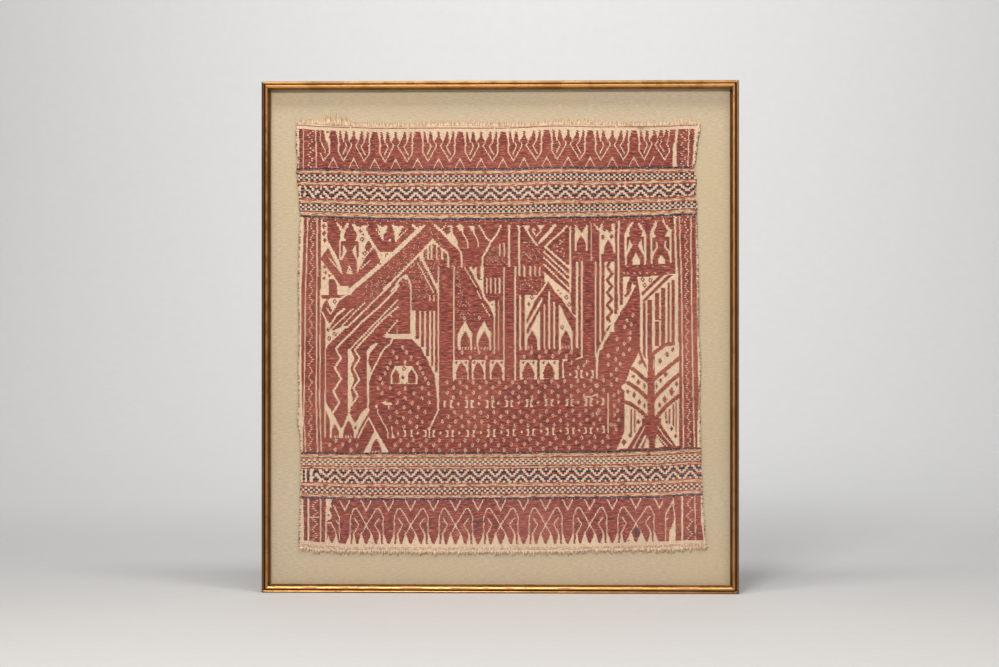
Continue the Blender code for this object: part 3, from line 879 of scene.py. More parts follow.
def standing_pair(chart):
    """Two figures in arched frames at the top right, on their madder platform."""
    chart.patch([
        (331.4, 103.8), (333.2, 104.6), (329, 109.6), (328.2, 113.4), (329.2, 117), (326.2, 117.2),
        (326, 145), (323.8, 145), (323.6, 114), (326.8, 107.4)])
    chart.patch([
        (336.2, 104.8), (339, 105.4), (343.2, 111), (345.6, 116), (345.2, 144.6), (343, 144.6),
        (342.8, 117.4), (339.6, 117.2), (341.4, 113)])
    chart.patch([(328.6, 120), (331.9, 125.6), (329.6, 129.6), (326, 137), (325, 137)])
    chart.line([(328.4, 121), (328.6, 128)], 0.9)
    chart.patch([(340.2, 120), (336.8, 125.6), (339.4, 130), (343.6, 138), (344, 138)])
    chart.line([(340.6, 121), (340.4, 128)], 0.9)
    chart.patch([(335, 132.8), (338.9, 140), (338.9, 144.8), (331.4, 144.6), (331.2, 140)])
    chart.patch([
        (353.8, 104), (356.6, 103.4), (355.6, 108), (352.4, 113), (355.8, 117.2), (351.4, 118),
        (351.4, 144), (349.4, 144), (349.2, 112), (351.6, 109)])
    chart.patch([
        (361, 103.4), (362.8, 101.6), (364.4, 106), (368.4, 109.4), (370.4, 111), (370.4, 143),
        (368.4, 143), (368.4, 117.2), (364.2, 116.6), (366, 112.6), (365.6, 110.6)])
    chart.line([(355.6, 123), (356.2, 128), (352.4, 133), (351, 139)], 2)
    chart.line([(364.4, 122), (363.9, 127), (367.4, 131.4), (369, 137)], 2)
    chart.patch([(360.2, 135), (363.8, 139.8), (363.8, 144.2), (357, 144.2), (356.8, 139.8)])
    for across in (326, 336.5, 352, 362, 364):
        chart.post(across, 1.2, 146.2, 147.4)
    for across in (322.6, 326.8, 333, 338.6, 345.8, 353.5, 366.2):
        chart.block(across - 0.7, 152.4, across + 0.8, 154)


def left_fan(chart):
    """The long slanting bands at the left, and the zigzag banners that they turn into."""
    chart.patch([(19.4, 178), (24, 179.2), (26.6, 179.4), (23.4, 182.6), (20.2, 190)])
    chart.patch([(26.4, 180), (30, 178), (40.5, 178.6), (36.4, 184.6), (33.2, 190.4), (30.6, 190)])
    chart.eye(34, 181.6, MADDER, COTTON)
    chart.line([(26.2, 188.4), (29.6, 194), (33.4, 189)], 1.6)
    chart.line([(39.5, 179), (46, 174.6), (52, 170.6)], 2.2)
    chart.line([(43.4, 189.2), (36, 194.6)], 2.7)
    chart.line([(36, 194.6), (30.2, 203.6)], 2)
    chart.patch([
        (19.6, 190.6), (22.8, 192.4), (24.4, 196.6), (28, 202.6), (30.8, 203.4), (29.8, 207.6),
        (32, 210.6), (39, 207.6), (41.4, 206), (46.6, 206.4), (43, 210.2), (35, 217.8), (27, 225.6),
        (24.8, 229), (24.2, 200)])
    chart.lozenge(27.2, 209.8, MADDER, 1.8, 2.2)
    chart.eye(34, 214, MADDER, COTTON)
    chart.eye(28.4, 218.4, MADDER, COTTON)
    chart.line([(52.6, 189), (49.6, 191), (31.4, 208.4)], 1.6)
    chart.line([(64.6, 182.4), (58, 188.4), (41.8, 205.2)], 1.5)
    chart.line([(90, 164.6), (68, 186.2), (46, 207.8)], 2.1)
    chart.line([
        (98.2, 164.6), (95, 170), (80, 185.6), (62, 201.2), (35, 228.6), (40, 238.2), (34, 248),
        (40.4, 259), (32.6, 271), (38.6, 283), (31, 294)], 2.3)
    chart.line([(97, 180), (49, 229.6)], 1.9)
    chart.line([
        (97, 187), (82, 199.6), (54, 229.8), (58.8, 238), (53, 248.6), (58.6, 260), (52.6, 268),
        (57.2, 276), (51, 285)], 2.2)
    chart.line([(97, 200.2), (84.6, 215)], 1.8)
    chart.line([(89, 195), (91.4, 196.4)], 1.2)
    chart.patch([
        (47.2, 229.2), (50, 229.4), (53.8, 238.2), (49.6, 248.4), (53.6, 260), (49.8, 270), (52, 278),
        (49.4, 292), (47.2, 292)])
    chart.patch([
        (78.2, 223), (74.4, 223.2), (69, 226.6), (66.1, 230.8), (66.3, 288), (68.2, 288), (68.6, 262),
        (71.2, 254), (70.4, 249), (67.2, 240.4), (69.4, 233.6), (73.4, 228)])
    chart.lozenge(69.9, 251.4, MADDER, 0.9, 1)


def prow_masts(chart):
    """The beam, the masts over the egg and the egg's two curved sides."""
    chart.patch([(82.4, 217.2), (86, 213.4), (92, 214), (110, 213.8), (115, 219), (92.6, 218.6)])
    chart.block(95.9, 209.6, 97.2, 214)
    chart.block(109.6, 190.6, 115, 219)
    chart.line([(110.2, 168), (110.2, 192)], 2.1)
    chart.line([(90.4, 171.4), (95.4, 166), (98.4, 160.4), (103, 156.4), (105.4, 155.4)], 2.2)
    chart.line([(105, 155.6), (107.4, 158.4), (109.8, 164), (110.3, 169)], 2.2)
    chart.patch([(102, 157.6), (105.2, 154), (108, 158.4), (105, 160)])
    for across, foot in ((119.5, 227), (124.5, 236), (129.5, 246), (133.5, 252)):
        chart.post(across, 1.8, 191, foot)
    chart.line([(137.8, 147), (137.6, 290)], 2)
    chart.patch([(134.2, 163), (138.6, 163), (138.4, 171), (136.4, 170)])
    for across in (129.4, 133.3):
        chart.block(across - 0.8, 175, across + 0.7, 181.4)
    chart.patch([
        (114, 219), (119.6, 219), (120, 227), (124.6, 227), (125, 236), (129.4, 236), (130, 246),
        (133.2, 246), (134, 252), (137.4, 252), (138.2, 262), (138.4, 280), (136.6, 280), (134, 256),
        (127, 240), (120, 228), (111, 219)])
    chart.line([(92, 218.6), (89.6, 224.4), (84, 228), (79, 236.6), (75.6, 243.6), (70, 254.4)], 2.2)


def pitched_houses(chart):
    for middle, left_leg in ((164.5, 2.9), (183.5, 1.7)):
        chart.patch([
            (middle, 200.8), (middle + 7.2, 214), (middle + 6.9, 229.6), (middle - 7.2, 229.6),
            (middle - 7.4, 214)])
        chart.patch([
            (middle, 211), (middle + 4.4, 218.6), (middle + 5.1, 221.4), (middle + 5.1, 230),
            (middle - 7.2 + left_leg, 230), (middle - 7.2 + left_leg, 223),
            (middle - 4.2, 218.6)], MADDER)
        for across in (-3, 0.2, 3):
            chart.post(middle + across, 1.4, 227, 229.6)
    chart.block(173.4, 227, 174.8, 229.6)
    for across, down in (
        (163.6, 198.2), (178.6, 198), (161.6, 232.4), (178.6, 232.2), (193.4, 232.2), (169.6, 237.4),
        (185.5, 237.4),
    ):
        chart.eye(across, down)
    chart.line([(153.2, 147), (153.2, 260)], 2.1)
    chart.line([(181.4, 169), (183.6, 177.6), (188.6, 184)], 2.4)
    chart.patch([
        (187.2, 182.4), (190.4, 181.6), (194.6, 180), (194.8, 197), (193.2, 196.6), (190.2, 190)])
    chart.lozenge(191.8, 184.4, MADDER, 1, 0.9)
    chart.line([(193.8, 196), (193.8, 229.6)], 1.9)
    chart.line([(198, 181), (198, 229.6)], 1.6)
    chart.line([(176.6, 171), (180.2, 178.4)], 1.3)
    chart.line([(181.4, 183.4), (189, 196)], 1.2)
    for across in (186.4, 190.4, 194.9, 199):
        chart.post(across, 1.6, 158, 173.6)
    chart.line([(203.2, 148), (203.2, 260)], 1.9)
    chart.line([(214.5, 147), (214.5, 260)], 1.8)


def eye_rows(chart, rows, left, right, pitch, rise=0.0):
    """Rows of eyes, as (down, first across)."""
    for down, first in rows:
        across = first
        while across < right:
            if across > left:
                lift = rise * max(0, (across - 200) / 90)
                chart.eye(across, down - lift)
            across += pitch


def spool(chart, edge, way, top):
    """Half an hourglass, flat on one side."""
    chart.patch([
        (edge, top), (edge - way * 3.3, top), (edge - way * 2.6, top + 1.6),
        (edge - way * 1.5, top + 3.6), (edge - way * 1.8, top + 5.4), (edge - way * 3.6, top + 7.4),
        (edge, top + 7.4)])


def inner_pavilion(chart):
    """The two halves of the middle pavilion, mirrored about its three posts."""
    chart.patch([
        (224, 175.4), (237, 175.4), (226, 199.4), (226.2, 204), (241, 177.4), (242.2, 180.4),
        (226.6, 208), (225.6, 213.4), (227.4, 213.8), (229, 210), (238.8, 190.4), (239.7, 192),
        (239.7, 229.6), (236.7, 229.6), (236.5, 219.6), (231.2, 210), (227, 218.4), (226.6, 229.6),
        (224, 229.6)])
    chart.eye(231.2, 177.4, MADDER, COTTON)
    chart.lozenge(228.2, 184.2, MADDER, 1.6, 2.5)
    chart.patch([
        (258, 184.6), (259.4, 185.6), (270.8, 209), (272, 214), (271.8, 229.6), (270.2, 229.6),
        (270, 219.4), (265, 209.6), (260.4, 219), (260.4, 229.6), (257.8, 229.6)])
    chart.eye(261.6, 207.2, MADDER, COTTON)
    chart.line([(219.5, 176), (219.5, 229.6)], 1.9)
    for across, top in ((243.7, 184.6), (248.4, 171.6), (253.6, 182)):
        chart.post(across, 1.8, top, 229)
    for across in (228, 231, 262, 265, 268):
        chart.post(across, 1.4, 225.6, 228.8)
    chart.eye(265.6, 177.4, MADDER, COTTON)
    chart.eye(268.6, 184.6, MADDER, COTTON)
    chart.lozenge(257.2, 170.6, MADDER, 1.2, 0.9)
    chart.lozenge(259.6, 173.6, MADDER, 1.3, 0.8)
    chart.line([(281, 237), (275, 239.2)], 1.7)
    for across, down in (
        (245.4, 231.6), (258.6, 232), (270.6, 232), (231, 232.2), (223.4, 236.6), (238.6, 236.6),
        (265.4, 236.4), (252, 236.2), (270.6, 242.4), (286, 241.4), (283.4, 245), (277.6, 247.6),
    ):
        chart.eye(across, down)


def shrine_panel(chart, left, right, left_leg, right_leg, apex):
    """A cotton panel with a pointed madder house cut into its foot."""
    chart.block(left, 240, right, 259.6)
    inner_left = left + left_leg
    inner_right = right - right_leg
    chart.patch([
        (apex, 241.8), (apex + 3.6, 247), (inner_right - 0.4, 251.4), (inner_right + 0.8, 253.4),
        (inner_right, 254.4), (inner_right, 260), (inner_left, 260), (inner_left, 254.4),
        (inner_left - 0.8, 253.4), (inner_left + 0.4, 251.4), (apex - 3.6, 247)], MADDER)
    for middle in ((left + apex) / 2 - 0.8, (right + apex) / 2 + 0.8):
        chart.lozenge(middle, 242.6, MADDER, 1.4, 2)


def shrine_row(chart):
    panels = (
        (152.2, 168.2, 3.4, 1.8, 161), (171, 185.2, 2, 2.2, 177.6), (189, 203.8, 2.2, 2.2, 196.6),
        (219.2, 236.4, 2.8, 3, 227.4), (239.2, 258, 3.6, 4.4, 248))
    for panel in panels:
        shrine_panel(chart, *panel)
    chart.patch([
        (261.4, 239.2), (267, 239.2), (266.6, 240.6), (263, 240.8), (262.8, 249), (264.2, 251.4),
        (262.8, 254), (264.6, 258.4), (261.4, 258.4)])
    for left, right in ((155.4, 166), (173.2, 183), (191.4, 201.4), (222.2, 233.2), (243, 253.4)):
        across = left
        while across < right:
            chart.block(across, 258, across + 0.9, 259)
            across += 2.1
    for edge, way in ((277, 1), (279.4, -1), (293.2, 1)):
        spool(chart, edge, way, 250.2)
    chart.lozenge(269.4, 254.4, COTTON, 1.4, 2.4)
    chart.lozenge(286.2, 253.8, COTTON, 1.6, 2.6)


def prow(chart):
    """The right prow, which narrows between the posts, and the flame-leaf panel."""
    chart.patch([
        (321.8, 157.4), (329.4, 157.4), (326.6, 163.6), (325.4, 169), (326, 172.6), (323, 175.4),
        (324.2, 176.8), (329.6, 176.6), (326, 184), (321.8, 189)])
    chart.patch([
        (331.6, 162.6), (333.6, 167.6), (331.8, 172.4), (329.4, 176.8), (330.4, 170), (330, 166.6)])
    chart.line([
        (333.4, 165.6), (330.6, 172), (324, 183), (318, 193), (311, 206), (305, 218), (299, 228),
        (296.2, 235), (296, 258)], 2.5)
    for top, foot, width in (
        ((314.6, 196), (311, 203), 4.4), ((307.4, 212.4), (304.6, 218.6), 3.6),
        ((302, 223), (299.8, 229), 3.2), ((297.4, 233), (296, 239), 2.8),
        ((320.4, 186), (317.6, 191.6), 3.2),
    ):
        chart.line([top, foot], width)
    for across, down in (
        (332, 195.2), (326, 200.4), (330.4, 204.6), (324, 207), (329, 212.6), (316.4, 219), (329, 218.4),
        (323.4, 223.6), (316.6, 229), (328.4, 229.4), (322.8, 234.4), (307.2, 235.4), (314.6, 239),
        (307.4, 244.4), (319.4, 243.8), (315.4, 249.4), (310.2, 254.4), (316, 259.4), (302.6, 260),
        (310.4, 264.6), (302.6, 270), (295, 265.4),
    ):
        chart.eye(across, down)


def right_canopy(chart):
    """The cotton field of upright madder bars under the platform at the right."""
    chart.patch([
        (336.2, 157.2), (358.4, 156), (377, 153), (377, 231), (366, 231), (366, 243), (352, 235),
        (340, 243), (339, 237), (339.2, 176)])
    chart.patch([(358.2, 155.6), (362.8, 155.4), (341.4, 175.8), (340.4, 174.2), (341, 172.6)], MADDER)
    chart.patch([(366.4, 155.4), (371.4, 155.2), (343.6, 181.8), (342, 181.6), (342.4, 179.4)], MADDER)
    for left, right, top, foot in (
        (342, 344.6, 182.4, 238), (346.6, 350.8, 180, 238), (354.2, 357.8, 173, 226),
        (360, 363.8, 168, 224), (366.4, 368.6, 163, 224), (370.4, 373.4, 160, 224),
    ):
        chart.block(left, top, right, foot, MADDER)
    chart.block(353.4, 200, 358, 201.6)
    chart.block(358.2, 199.2, 360.4, 200.6, MADDER)
    for across, down in ((341.4, 159.4), (349.2, 160.2), (343.6, 165.2)):
        chart.eye(across, down, MADDER, COTTON)
    chart.lozenge(342.6, 161.6, MADDER, 0.8, 0.8)


def branching_tree(chart):
    """The madder tree on its cotton ground at the lower right."""
    chart.patch([
        (339.4, 229), (336, 236), (330, 247), (326.4, 257), (324.6, 262.4), (320.2, 266.4),
        (320.8, 268.4), (323.4, 270.6), (323.4, 312), (320.4, 320), (315.6, 330.6), (377.8, 328.6),
        (377.8, 222), (366, 224), (352, 236), (344, 238)])
    chart.block(346.6, 236, 353.4, 302, MADDER)
    chart.block(341.2, 298, 360, 305.6, MADDER)
    chart.block(347.6, 304, 354, 330, MADDER)
    for branch in (
        [(350, 235.4), (356, 230.6), (363, 225), (372.6, 223.6)],
        [(350, 262.6), (356, 256.4), (364, 249.6), (372, 243), (378, 238)],
        [(350.6, 281.6), (356, 274.6), (364, 266.6), (371, 260), (378, 254.4)],
        [(352, 302.4), (358, 293.6), (365, 286), (372, 280), (378, 275.4)],
        [(349, 262.6), (342, 257.6), (336, 252), (331, 248.6)],
        [(349, 282), (343, 274.6), (336, 268.4), (327, 262.6)],
        [(349, 301.4), (343, 294), (336, 288), (329, 283.4), (325, 282)],
    ):
        chart.line(branch, 4, MADDER)
    chart.line([(338.6, 231), (341, 240), (346, 248)], 2.6, MADDER)
    chart.lozenge(339, 242.4, MADDER, 2, 2.6)
    chart.block(345.6, 239, 347, 252)
    chart.block(351.8, 239.6, 353.2, 249)
    chart.line([
        (366.2, 228.4), (362.2, 232.4), (363.4, 238), (366.2, 240.4), (369.6, 235), (367.6, 230)], 1.8)
    for x, y, wide, tall in (
        (366, 234.6, 2.3, 3.2), (371.6, 229.4, 1.6, 3.2), (358.8, 241, 2, 3.4), (364.4, 254, 2.3, 3.2),
        (375.4, 263.8, 1.8, 3.2), (359.6, 260.4, 1.6, 2.8), (355.4, 266, 1.2, 3), (370.4, 271.4, 2.7, 5),
        (363.6, 279.2, 2.4, 4), (358.6, 284.6, 1.7, 3.4), (332.4, 256.4, 2.2, 1.9), (337.6, 262, 2.3, 3),
        (343.4, 266, 1.2, 3.4), (327, 271.4, 1.9, 3), (333.2, 274.8, 2, 3.6), (338.2, 282, 2.2, 3.2),
        (343.6, 285.6, 1.2, 3.4), (337.4, 301.8, 2.4, 2.8), (333.8, 311.2, 1.3, 2.2),
        (329.4, 316, 2.1, 3), (323, 323.4, 2.8, 3.6), (365.6, 301.6, 1.6, 2.2), (370.4, 308.6, 1.6, 3),
        (374.6, 316.2, 1.8, 3),
    ):
        chart.lozenge(x, y, MADDER, wide, tall)
    for across, top, foot in (
        (330.2, 288.4, 314), (333.9, 290, 309), (364.8, 291, 299), (368.3, 288.6, 304), (372.4, 284, 306),
        (375, 282, 312),
    ):
        chart.post(across, 1.4, top, foot, MADDER)
    for root, width in (
        ([(343, 305), (336, 317), (329, 330)], 4.2), ([(347, 306), (341, 317), (335, 330)], 3.6),
        ([(349, 310), (344, 320), (341, 330)], 2.6), ([(357, 304), (365, 316), (372, 328)], 4.6),
        ([(354, 306), (361, 317), (368, 328)], 3.6), ([(353, 310), (358, 318), (364, 328)], 3),
    ):
        chart.line(root, width, MADDER)
    chart.patch([(347.6, 305), (354, 305), (357, 312), (354, 322), (348, 322), (344, 313)], MADDER)
    for strand, width in (
        ([(343.6, 307), (332.4, 329.6)], 1.3), ([(345.2, 316), (338.8, 329.6)], 1.5),
        ([(356.6, 306.8), (371, 327.6)], 1.3), ([(355.8, 315.4), (365.6, 328)], 1.6),
    ):
        chart.line(strand, width)
    chart.patch([(347.8, 321.4), (343.2, 330), (348, 330)])
    chart.patch([(354.2, 321), (357, 321.6), (361.6, 329), (354.2, 330)])


def hull(chart):
    """The ship's hull: rows of eyes, and two rows of spools with a lozenge between."""
    eye_rows(chart, ((262.4, 146.6), (267.4, 153), (272.6, 146.8), (277.4, 153)), 140, 300, 13.05, 2)
    eye_rows(chart, ((292.2, 153.8), (296.6, 147.6), (301.6, 142), (306.2, 148.8)), 139, 300, 13.1, 2)
    eye_rows(chart, ((320.2, 99.8), (325, 94.4), (330, 100)), 94, 314, 12.95, 2)
    chart.block(142.9, 280.4, 144.9, 287.6)
    spool(chart, 149.3, -1, 280.2)
    for left, right, lift in (
        (167.7, 170.2, 0), (188, 190.8, 0), (207.3, 209.8, 0.6), (227.5, 229.5, 1), (246.5, 250, 1.2),
        (267.3, 269.8, 1.6), (286.3, 289, 1.8),
    ):
        spool(chart, left, 1, 280.2 - lift)
        spool(chart, right, -1, 280.2 - lift)
    for across, down in (
        (157.7, 284), (178.5, 283.6), (197.8, 283), (218, 282.7), (237.3, 282.4), (257.8, 282),
        (277.3, 282), (296.5, 281.8), (117, 313.2), (97.4, 313.6), (139.7, 313), (158.6, 313),
        (180.3, 312.5), (200.7, 312), (221, 312), (240.5, 311.7), (260, 311.3), (278.4, 311),
        (296.7, 310),
    ):
        chart.lozenge(across, down, COTTON, 1.4, 2.1)
    for left, right, lift in (
        (105.6, 109.8, 0), (126, 131.8, -0.2), (148, 151, 0), (168.3, 172, 0), (189, 192.5, 0.4),
        (208.6, 212, 0.8), (228.6, 231.5, 1), (248, 251.5, 1.3), (268, 271.5, 1.6), (286.2, 289, 2),
    ):
        spool(chart, left, 1, 309.6 - lift)
        spool(chart, right, -1, 309.6 - lift)
    spool(chart, 304.2, 1, 306.4)
    spool(chart, 303.4, 1, 277.6)
    chart.line([(284, 277), (290.6, 276.6), (295, 274.6)], 1.5)
    chart.block(306.6, 273, 308.2, 314)
    for across, down in (
        (313.2, 275.4), (317.6, 280.6), (313.4, 285.6), (316.6, 290.6), (313.4, 294.4), (317.8, 299.6),
        (313.8, 305), (315.4, 310), (296.2, 293.4), (310.4, 304.8), (317.8, 271.6),
    ):
        chart.eye(across, down)


def egg_and_foot(chart):
    """What stands inside the left prow's egg, and the pointed shapes at the foot on the left."""
    for across, down in (
        (102, 227.4), (92.6, 232), (106, 232.4), (96, 237.4), (110.4, 237.4), (104.4, 242), (117, 243),
        (89.6, 243), (87, 248), (84.4, 253.4), (119.6, 248.2), (122.2, 253.2), (124.8, 258.4),
        (128, 263.6), (79.6, 258.4), (81.8, 263.4), (77.2, 268.2), (89.4, 268), (81.4, 273.2),
        (98.6, 273.2), (104.4, 268.4), (113.4, 273.4), (121.4, 268), (128.4, 273.6), (104.6, 278),
        (121.4, 278.2), (96.6, 282.6), (111.6, 283), (128.6, 282.6), (103.4, 287.4), (118, 287.6),
        (95.8, 292.2), (109.4, 292), (124.4, 292), (89.2, 297.4), (102.8, 297.6), (116.4, 296.8),
        (96.4, 302.2), (109.6, 302), (121.8, 301.8), (103.4, 306.8), (116, 306.6),
    ):
        chart.eye(across, down)
    chart.patch([(94.4, 245.6), (111.4, 245.6), (117.4, 256), (117, 264.4), (90, 264.4), (90, 254.6)])
    chart.patch([(95.2, 249), (98.4, 254), (99, 262.8), (92, 262.8), (91.6, 255.6)], MADDER)
    chart.patch([(111.2, 249.2), (115.2, 255.6), (115.2, 262.8), (107.4, 262.8), (107.6, 254)], MADDER)
    chart.eye(103.4, 248.8, MADDER, COTTON)
    chart.lozenge(102.2, 257.4, MADDER, 1.7, 2.4)
    for across in (101.4, 105.8, 93.4, 96, 109.8, 112.6):
        chart.post(across, 1, 262.4, 264.8, MADDER)
    chart.line([(104.4, 241.4), (104.4, 246)], 1.2)
    chart.line([(137.6, 289.6), (130, 307)], 1.9)
    chart.patch([
        (126.6, 307.6), (130.6, 307), (129.6, 310), (129.4, 317.6), (127.8, 317.6), (127.8, 309.6)])
    chart.lozenge(75.8, 286.4, COTTON, 1.7, 2.4)
    chart.line([(76.6, 289.6), (77.4, 293.6), (87, 310.6), (87.4, 317.8)], 1.5)
    chart.patch([(80.4, 282.8), (84.6, 280.8), (85.8, 282.6), (90.6, 282.4), (92.2, 284.8), (85, 284.8)])
    chart.block(87.4, 285, 89.2, 289.4)
    chart.patch([(90.6, 305.6), (92, 306), (91.8, 311.6), (94.4, 317.8), (91, 317.8)])
    chart.patch([
        (23.8, 280.6), (25.4, 282.6), (31.6, 293), (35.4, 299.4), (40, 308.6), (43, 305), (46.2, 296),
        (48, 291.4), (50, 296), (54.6, 303.6), (56, 301), (60, 293.6), (66, 287.8), (68.4, 288),
        (68.4, 292), (61.6, 303), (54.8, 318), (53, 318), (53, 312), (51, 305), (48.2, 300.8), (46, 303),
        (42.8, 311), (42.6, 318), (38.2, 318), (38, 312), (35.6, 306.6), (33.4, 304), (31.2, 311),
        (31, 318), (29.2, 318), (28.8, 300), (24, 288)])
    chart.lozenge(54.8, 307.8, MADDER, 1.3, 2.4)
    for across in (34.2, 36.4, 45.2, 47.8, 50.6):
        chart.post(across, 1.2, 315.4, 318)
    chart.line([(57.4, 317.8), (67.8, 297.6), (76, 313)], 1.9)
    chart.patch([
        (74, 309.4), (76.2, 311.6), (88.8, 332.6), (81.4, 332.6), (80.2, 328), (78.4, 323), (75.4, 318.6),
        (72.2, 323), (70.4, 328), (70, 332.6), (62.6, 332.6), (66, 326), (71, 317)])
    for across in (72.4, 75.2, 78):
        chart.post(across, 1.4, 330.6, 332.6)
    for across, down in (
        (28.8, 324.6), (41.8, 324.4), (56.4, 325), (34.4, 329.2), (50.2, 329.6), (35, 320.4), (49, 320.6),
    ):
        chart.eye(across, down)


def top_dots(chart):
    """The loose stitches in the madder strip over the figures."""
    for count in range(29):
        across = 8 + count * 13.1
        chart.post(across, 1, 100.8, 101.8)
        chart.block(across + 5.6, 102.8, across + 6.6, 103.8)


def draw_chart(chance):
    chart = Chart()
    stripe(chart, FIELD_TOP, FIELD_FOOT, MADDER)
    top_dots(chart)
    speckle(chart, [
        (66, 160), (128, 108), (134, 106), (160, 148), (160, 168), (178, 200), (156, 200), (156, 150),
        (136, 146), (128, 176), (112, 190), (100, 160), (66, 186), (55, 180)], 6.8, chance)
    speckle(chart, [(184, 126), (206, 122), (207, 146), (184, 146)], 6, chance)
    speckle(chart, [(219, 118), (240, 122), (240, 144), (219, 144)], 7, chance)
    speckle(chart, [(216, 158), (242, 158), (242, 174), (216, 174)], 7, chance)
    speckle(chart, [(272, 132), (292, 132), (292, 140), (272, 140)], 6, chance)
    dancing_figures(chart)
    seated_pair(chart)
    broad_diagonal(chart)
    roof_and_combs(chart)
    middle_banners(chart)
    tall_posts(chart)
    standing_pair(chart)
    left_fan(chart)
    prow_masts(chart)
    pitched_houses(chart)
    inner_pavilion(chart)
    shrine_row(chart)
    hull(chart)
    egg_and_foot(chart)
    prow(chart)
    right_canopy(chart)
    branching_tree(chart)
    left_border(chart)
    right_border(chart)
    top_panel(chart)
    head_panel_ends(chart)
    foot_panel(chart)
    foot_panel_ends(chart)
    heading_lines(chart, chance)
    upper_bands(chart)
    lower_bands(chart)
    worn_bands(chart, chance)
    for top, bottom in (
        (PANEL_TOP, PANEL_FOOT), (FIELD_TOP + 1, FIELD_FOOT - 1), (FOOT_PANEL_TOP, FOOT_PANEL_FOOT),
    ):
        chart.stagger(top, bottom, chance)
    selvedge_marks(chart, chance)
    return chart


def eased(table, column, at):
    """A column's value between a table's rows, eased from each row to the next."""
    at = np.clip(at, table[0, 0], table[-1, 0])
    row = np.clip(np.searchsorted(table[:, 0], at) - 1, 0, len(table) - 2)
    share = (at - table[row, 0]) / (table[row + 1, 0] - table[row, 0])
    near = table[row, column]
    far = table[row + 1, column]
    return near + (far - near) * (1 - np.cos(pi * share)) / 2


def top_edge(x):
    return CLOTH_TOP + eased(TOP_RISES, 1, x)


def foot_edge(x):
    return CLOTH_FOOT + eased(FOOT_RISES, 1, x)


def left_edge(z):
    return eased(SELVEDGES, 1, z)


def right_edge(z):
    return eased(SELVEDGES, 2, z)


def depth(from_front):
    return from_front - FRAME_DEPTH / 2


def linen_front():
    return BOARD_SHOULDER + PIECE_GAP


def cloth_front(x, z):
    """The Y of the cloth's front, which isn't stretched flat."""
    broad = (1 + np.sin(2 * pi * x / 0.290 + 0.8) * np.cos(2 * pi * z / 0.235 + 0.4)) / 2
    cross = (1 + np.sin(2 * pi * z / 0.118 + 5.0 * x)) / 2
    swell = BROAD_SWELL * broad + CROSS_SWELL * cross
    return depth(linen_front() - (CLOTH_CLEARANCE + CLOTH_THICKNESS + swell))


def place_on_cloth(across, down, lift):
    """Points over the cloth's front, from places of the chart."""
    z = CHART_ORIGIN_HEIGHT - (down + weft_shift(across, down)) * STEP
    x = (across - CHART_MIDDLE) * STEP
    x = np.clip(x, left_edge(z) + 0.0003, right_edge(z) - 0.0003)
    z = np.clip(z, foot_edge(x), top_edge(x))
    return np.stack([x, cloth_front(x, z) - lift, z], axis=-1)


def mesh_piece(name, points, faces, finish, smooth=False):
    """One mesh object from arrays, with the finish on it."""
    mesh = bpy.data.meshes.new(name)
    mesh.from_pydata(points.tolist(), [], faces)
    mesh.validate()
    if smooth:
        mesh.shade_smooth()
    piece = bpy.data.objects.new(name, mesh)
    mesh.materials.append(finish.material)
    bpy.context.scene.collection.objects.link(piece)
    return piece


def front_map(piece):
    """A flat map of the piece as seen from the front."""
    mesh = piece.data
    points = np.zeros(len(mesh.vertices) * 3, dtype=np.float32)
    mesh.vertices.foreach_get("co", points)
    flat = points.reshape(-1, 3)[:, [0, 2]]
    low = flat.min(axis=0)
    span = (flat.max(axis=0) - low).max()
    corners = np.zeros(len(mesh.loops), dtype=np.int32)
    mesh.loops.foreach_get("vertex_index", corners)
    layer = mesh.uv_layers.new(name="OFBake")
    layer.uv.foreach_set("vector", ((flat - low) / span)[corners].ravel())


def yarn_runs(cells, yarn, longest):
    """Where one yarn floats, as arrays of row, first column and last column."""
    rows, firsts, lasts = [], [], []
    for row, line in enumerate(cells == yarn):
        edges = np.flatnonzero(np.diff(np.concatenate(([0], line.astype(np.int8), [0]))))
        for first, last in zip(edges[::2], edges[1::2]):
            pieces = max(1, int(np.ceil((last - first) / longest)))
            stops = np.linspace(first, last, pieces + 1).round().astype(int)
            rows += [row] * pieces
            firsts += list(stops[:-1])
            lasts += list(stops[1:])
    return np.array(rows), np.array(firsts), np.array(lasts)


def weave_floats(name, chart, yarn, top, foot, crest, finish):
    """The floats of one pattern yarn, each a low ridge across its run of cells."""
    window = (chart.down > top) & (chart.down < foot)
    first_row = int(np.argmax(window))
    rows, firsts, lasts = yarn_runs(chart.cells[window], yarn, LONGEST_FLOAT)
    down = CHART_TOP + (rows + first_row) / CELLS_PER_STEP
    left = CHART_LEFT + firsts / CELLS_PER_STEP - FLOAT_SPREAD
    right = CHART_LEFT + lasts / CELLS_PER_STEP + FLOAT_SPREAD
    pitch = 1 / CELLS_PER_STEP
    corners = []
    for across in (left, right):
        for share, lift in ((0.0, FLOAT_ROOT), (0.5, crest), (1.0, FLOAT_ROOT)):
            corners.append(place_on_cloth(across, down + share * pitch, lift))
    points = np.stack(corners, axis=1)
    kept = points[:, 3, 0] - points[:, 0, 0] > FLOAT_SHORTEST
    points = points[kept]
    count = len(points)
    base = np.arange(count) * 6
    quads = np.concatenate([
        np.stack([base, base + 1, base + 4, base + 3], axis=1),
        np.stack([base + 1, base + 2, base + 5, base + 4], axis=1),
    ])
    ends = np.concatenate([
        np.stack([base, base + 2, base + 1], axis=1),
        np.stack([base + 3, base + 4, base + 5], axis=1),
    ])
    piece = mesh_piece(name, points.reshape(-1, 3), quads.tolist() + ends.tolist(), finish)
    front_map(piece)
    return piece


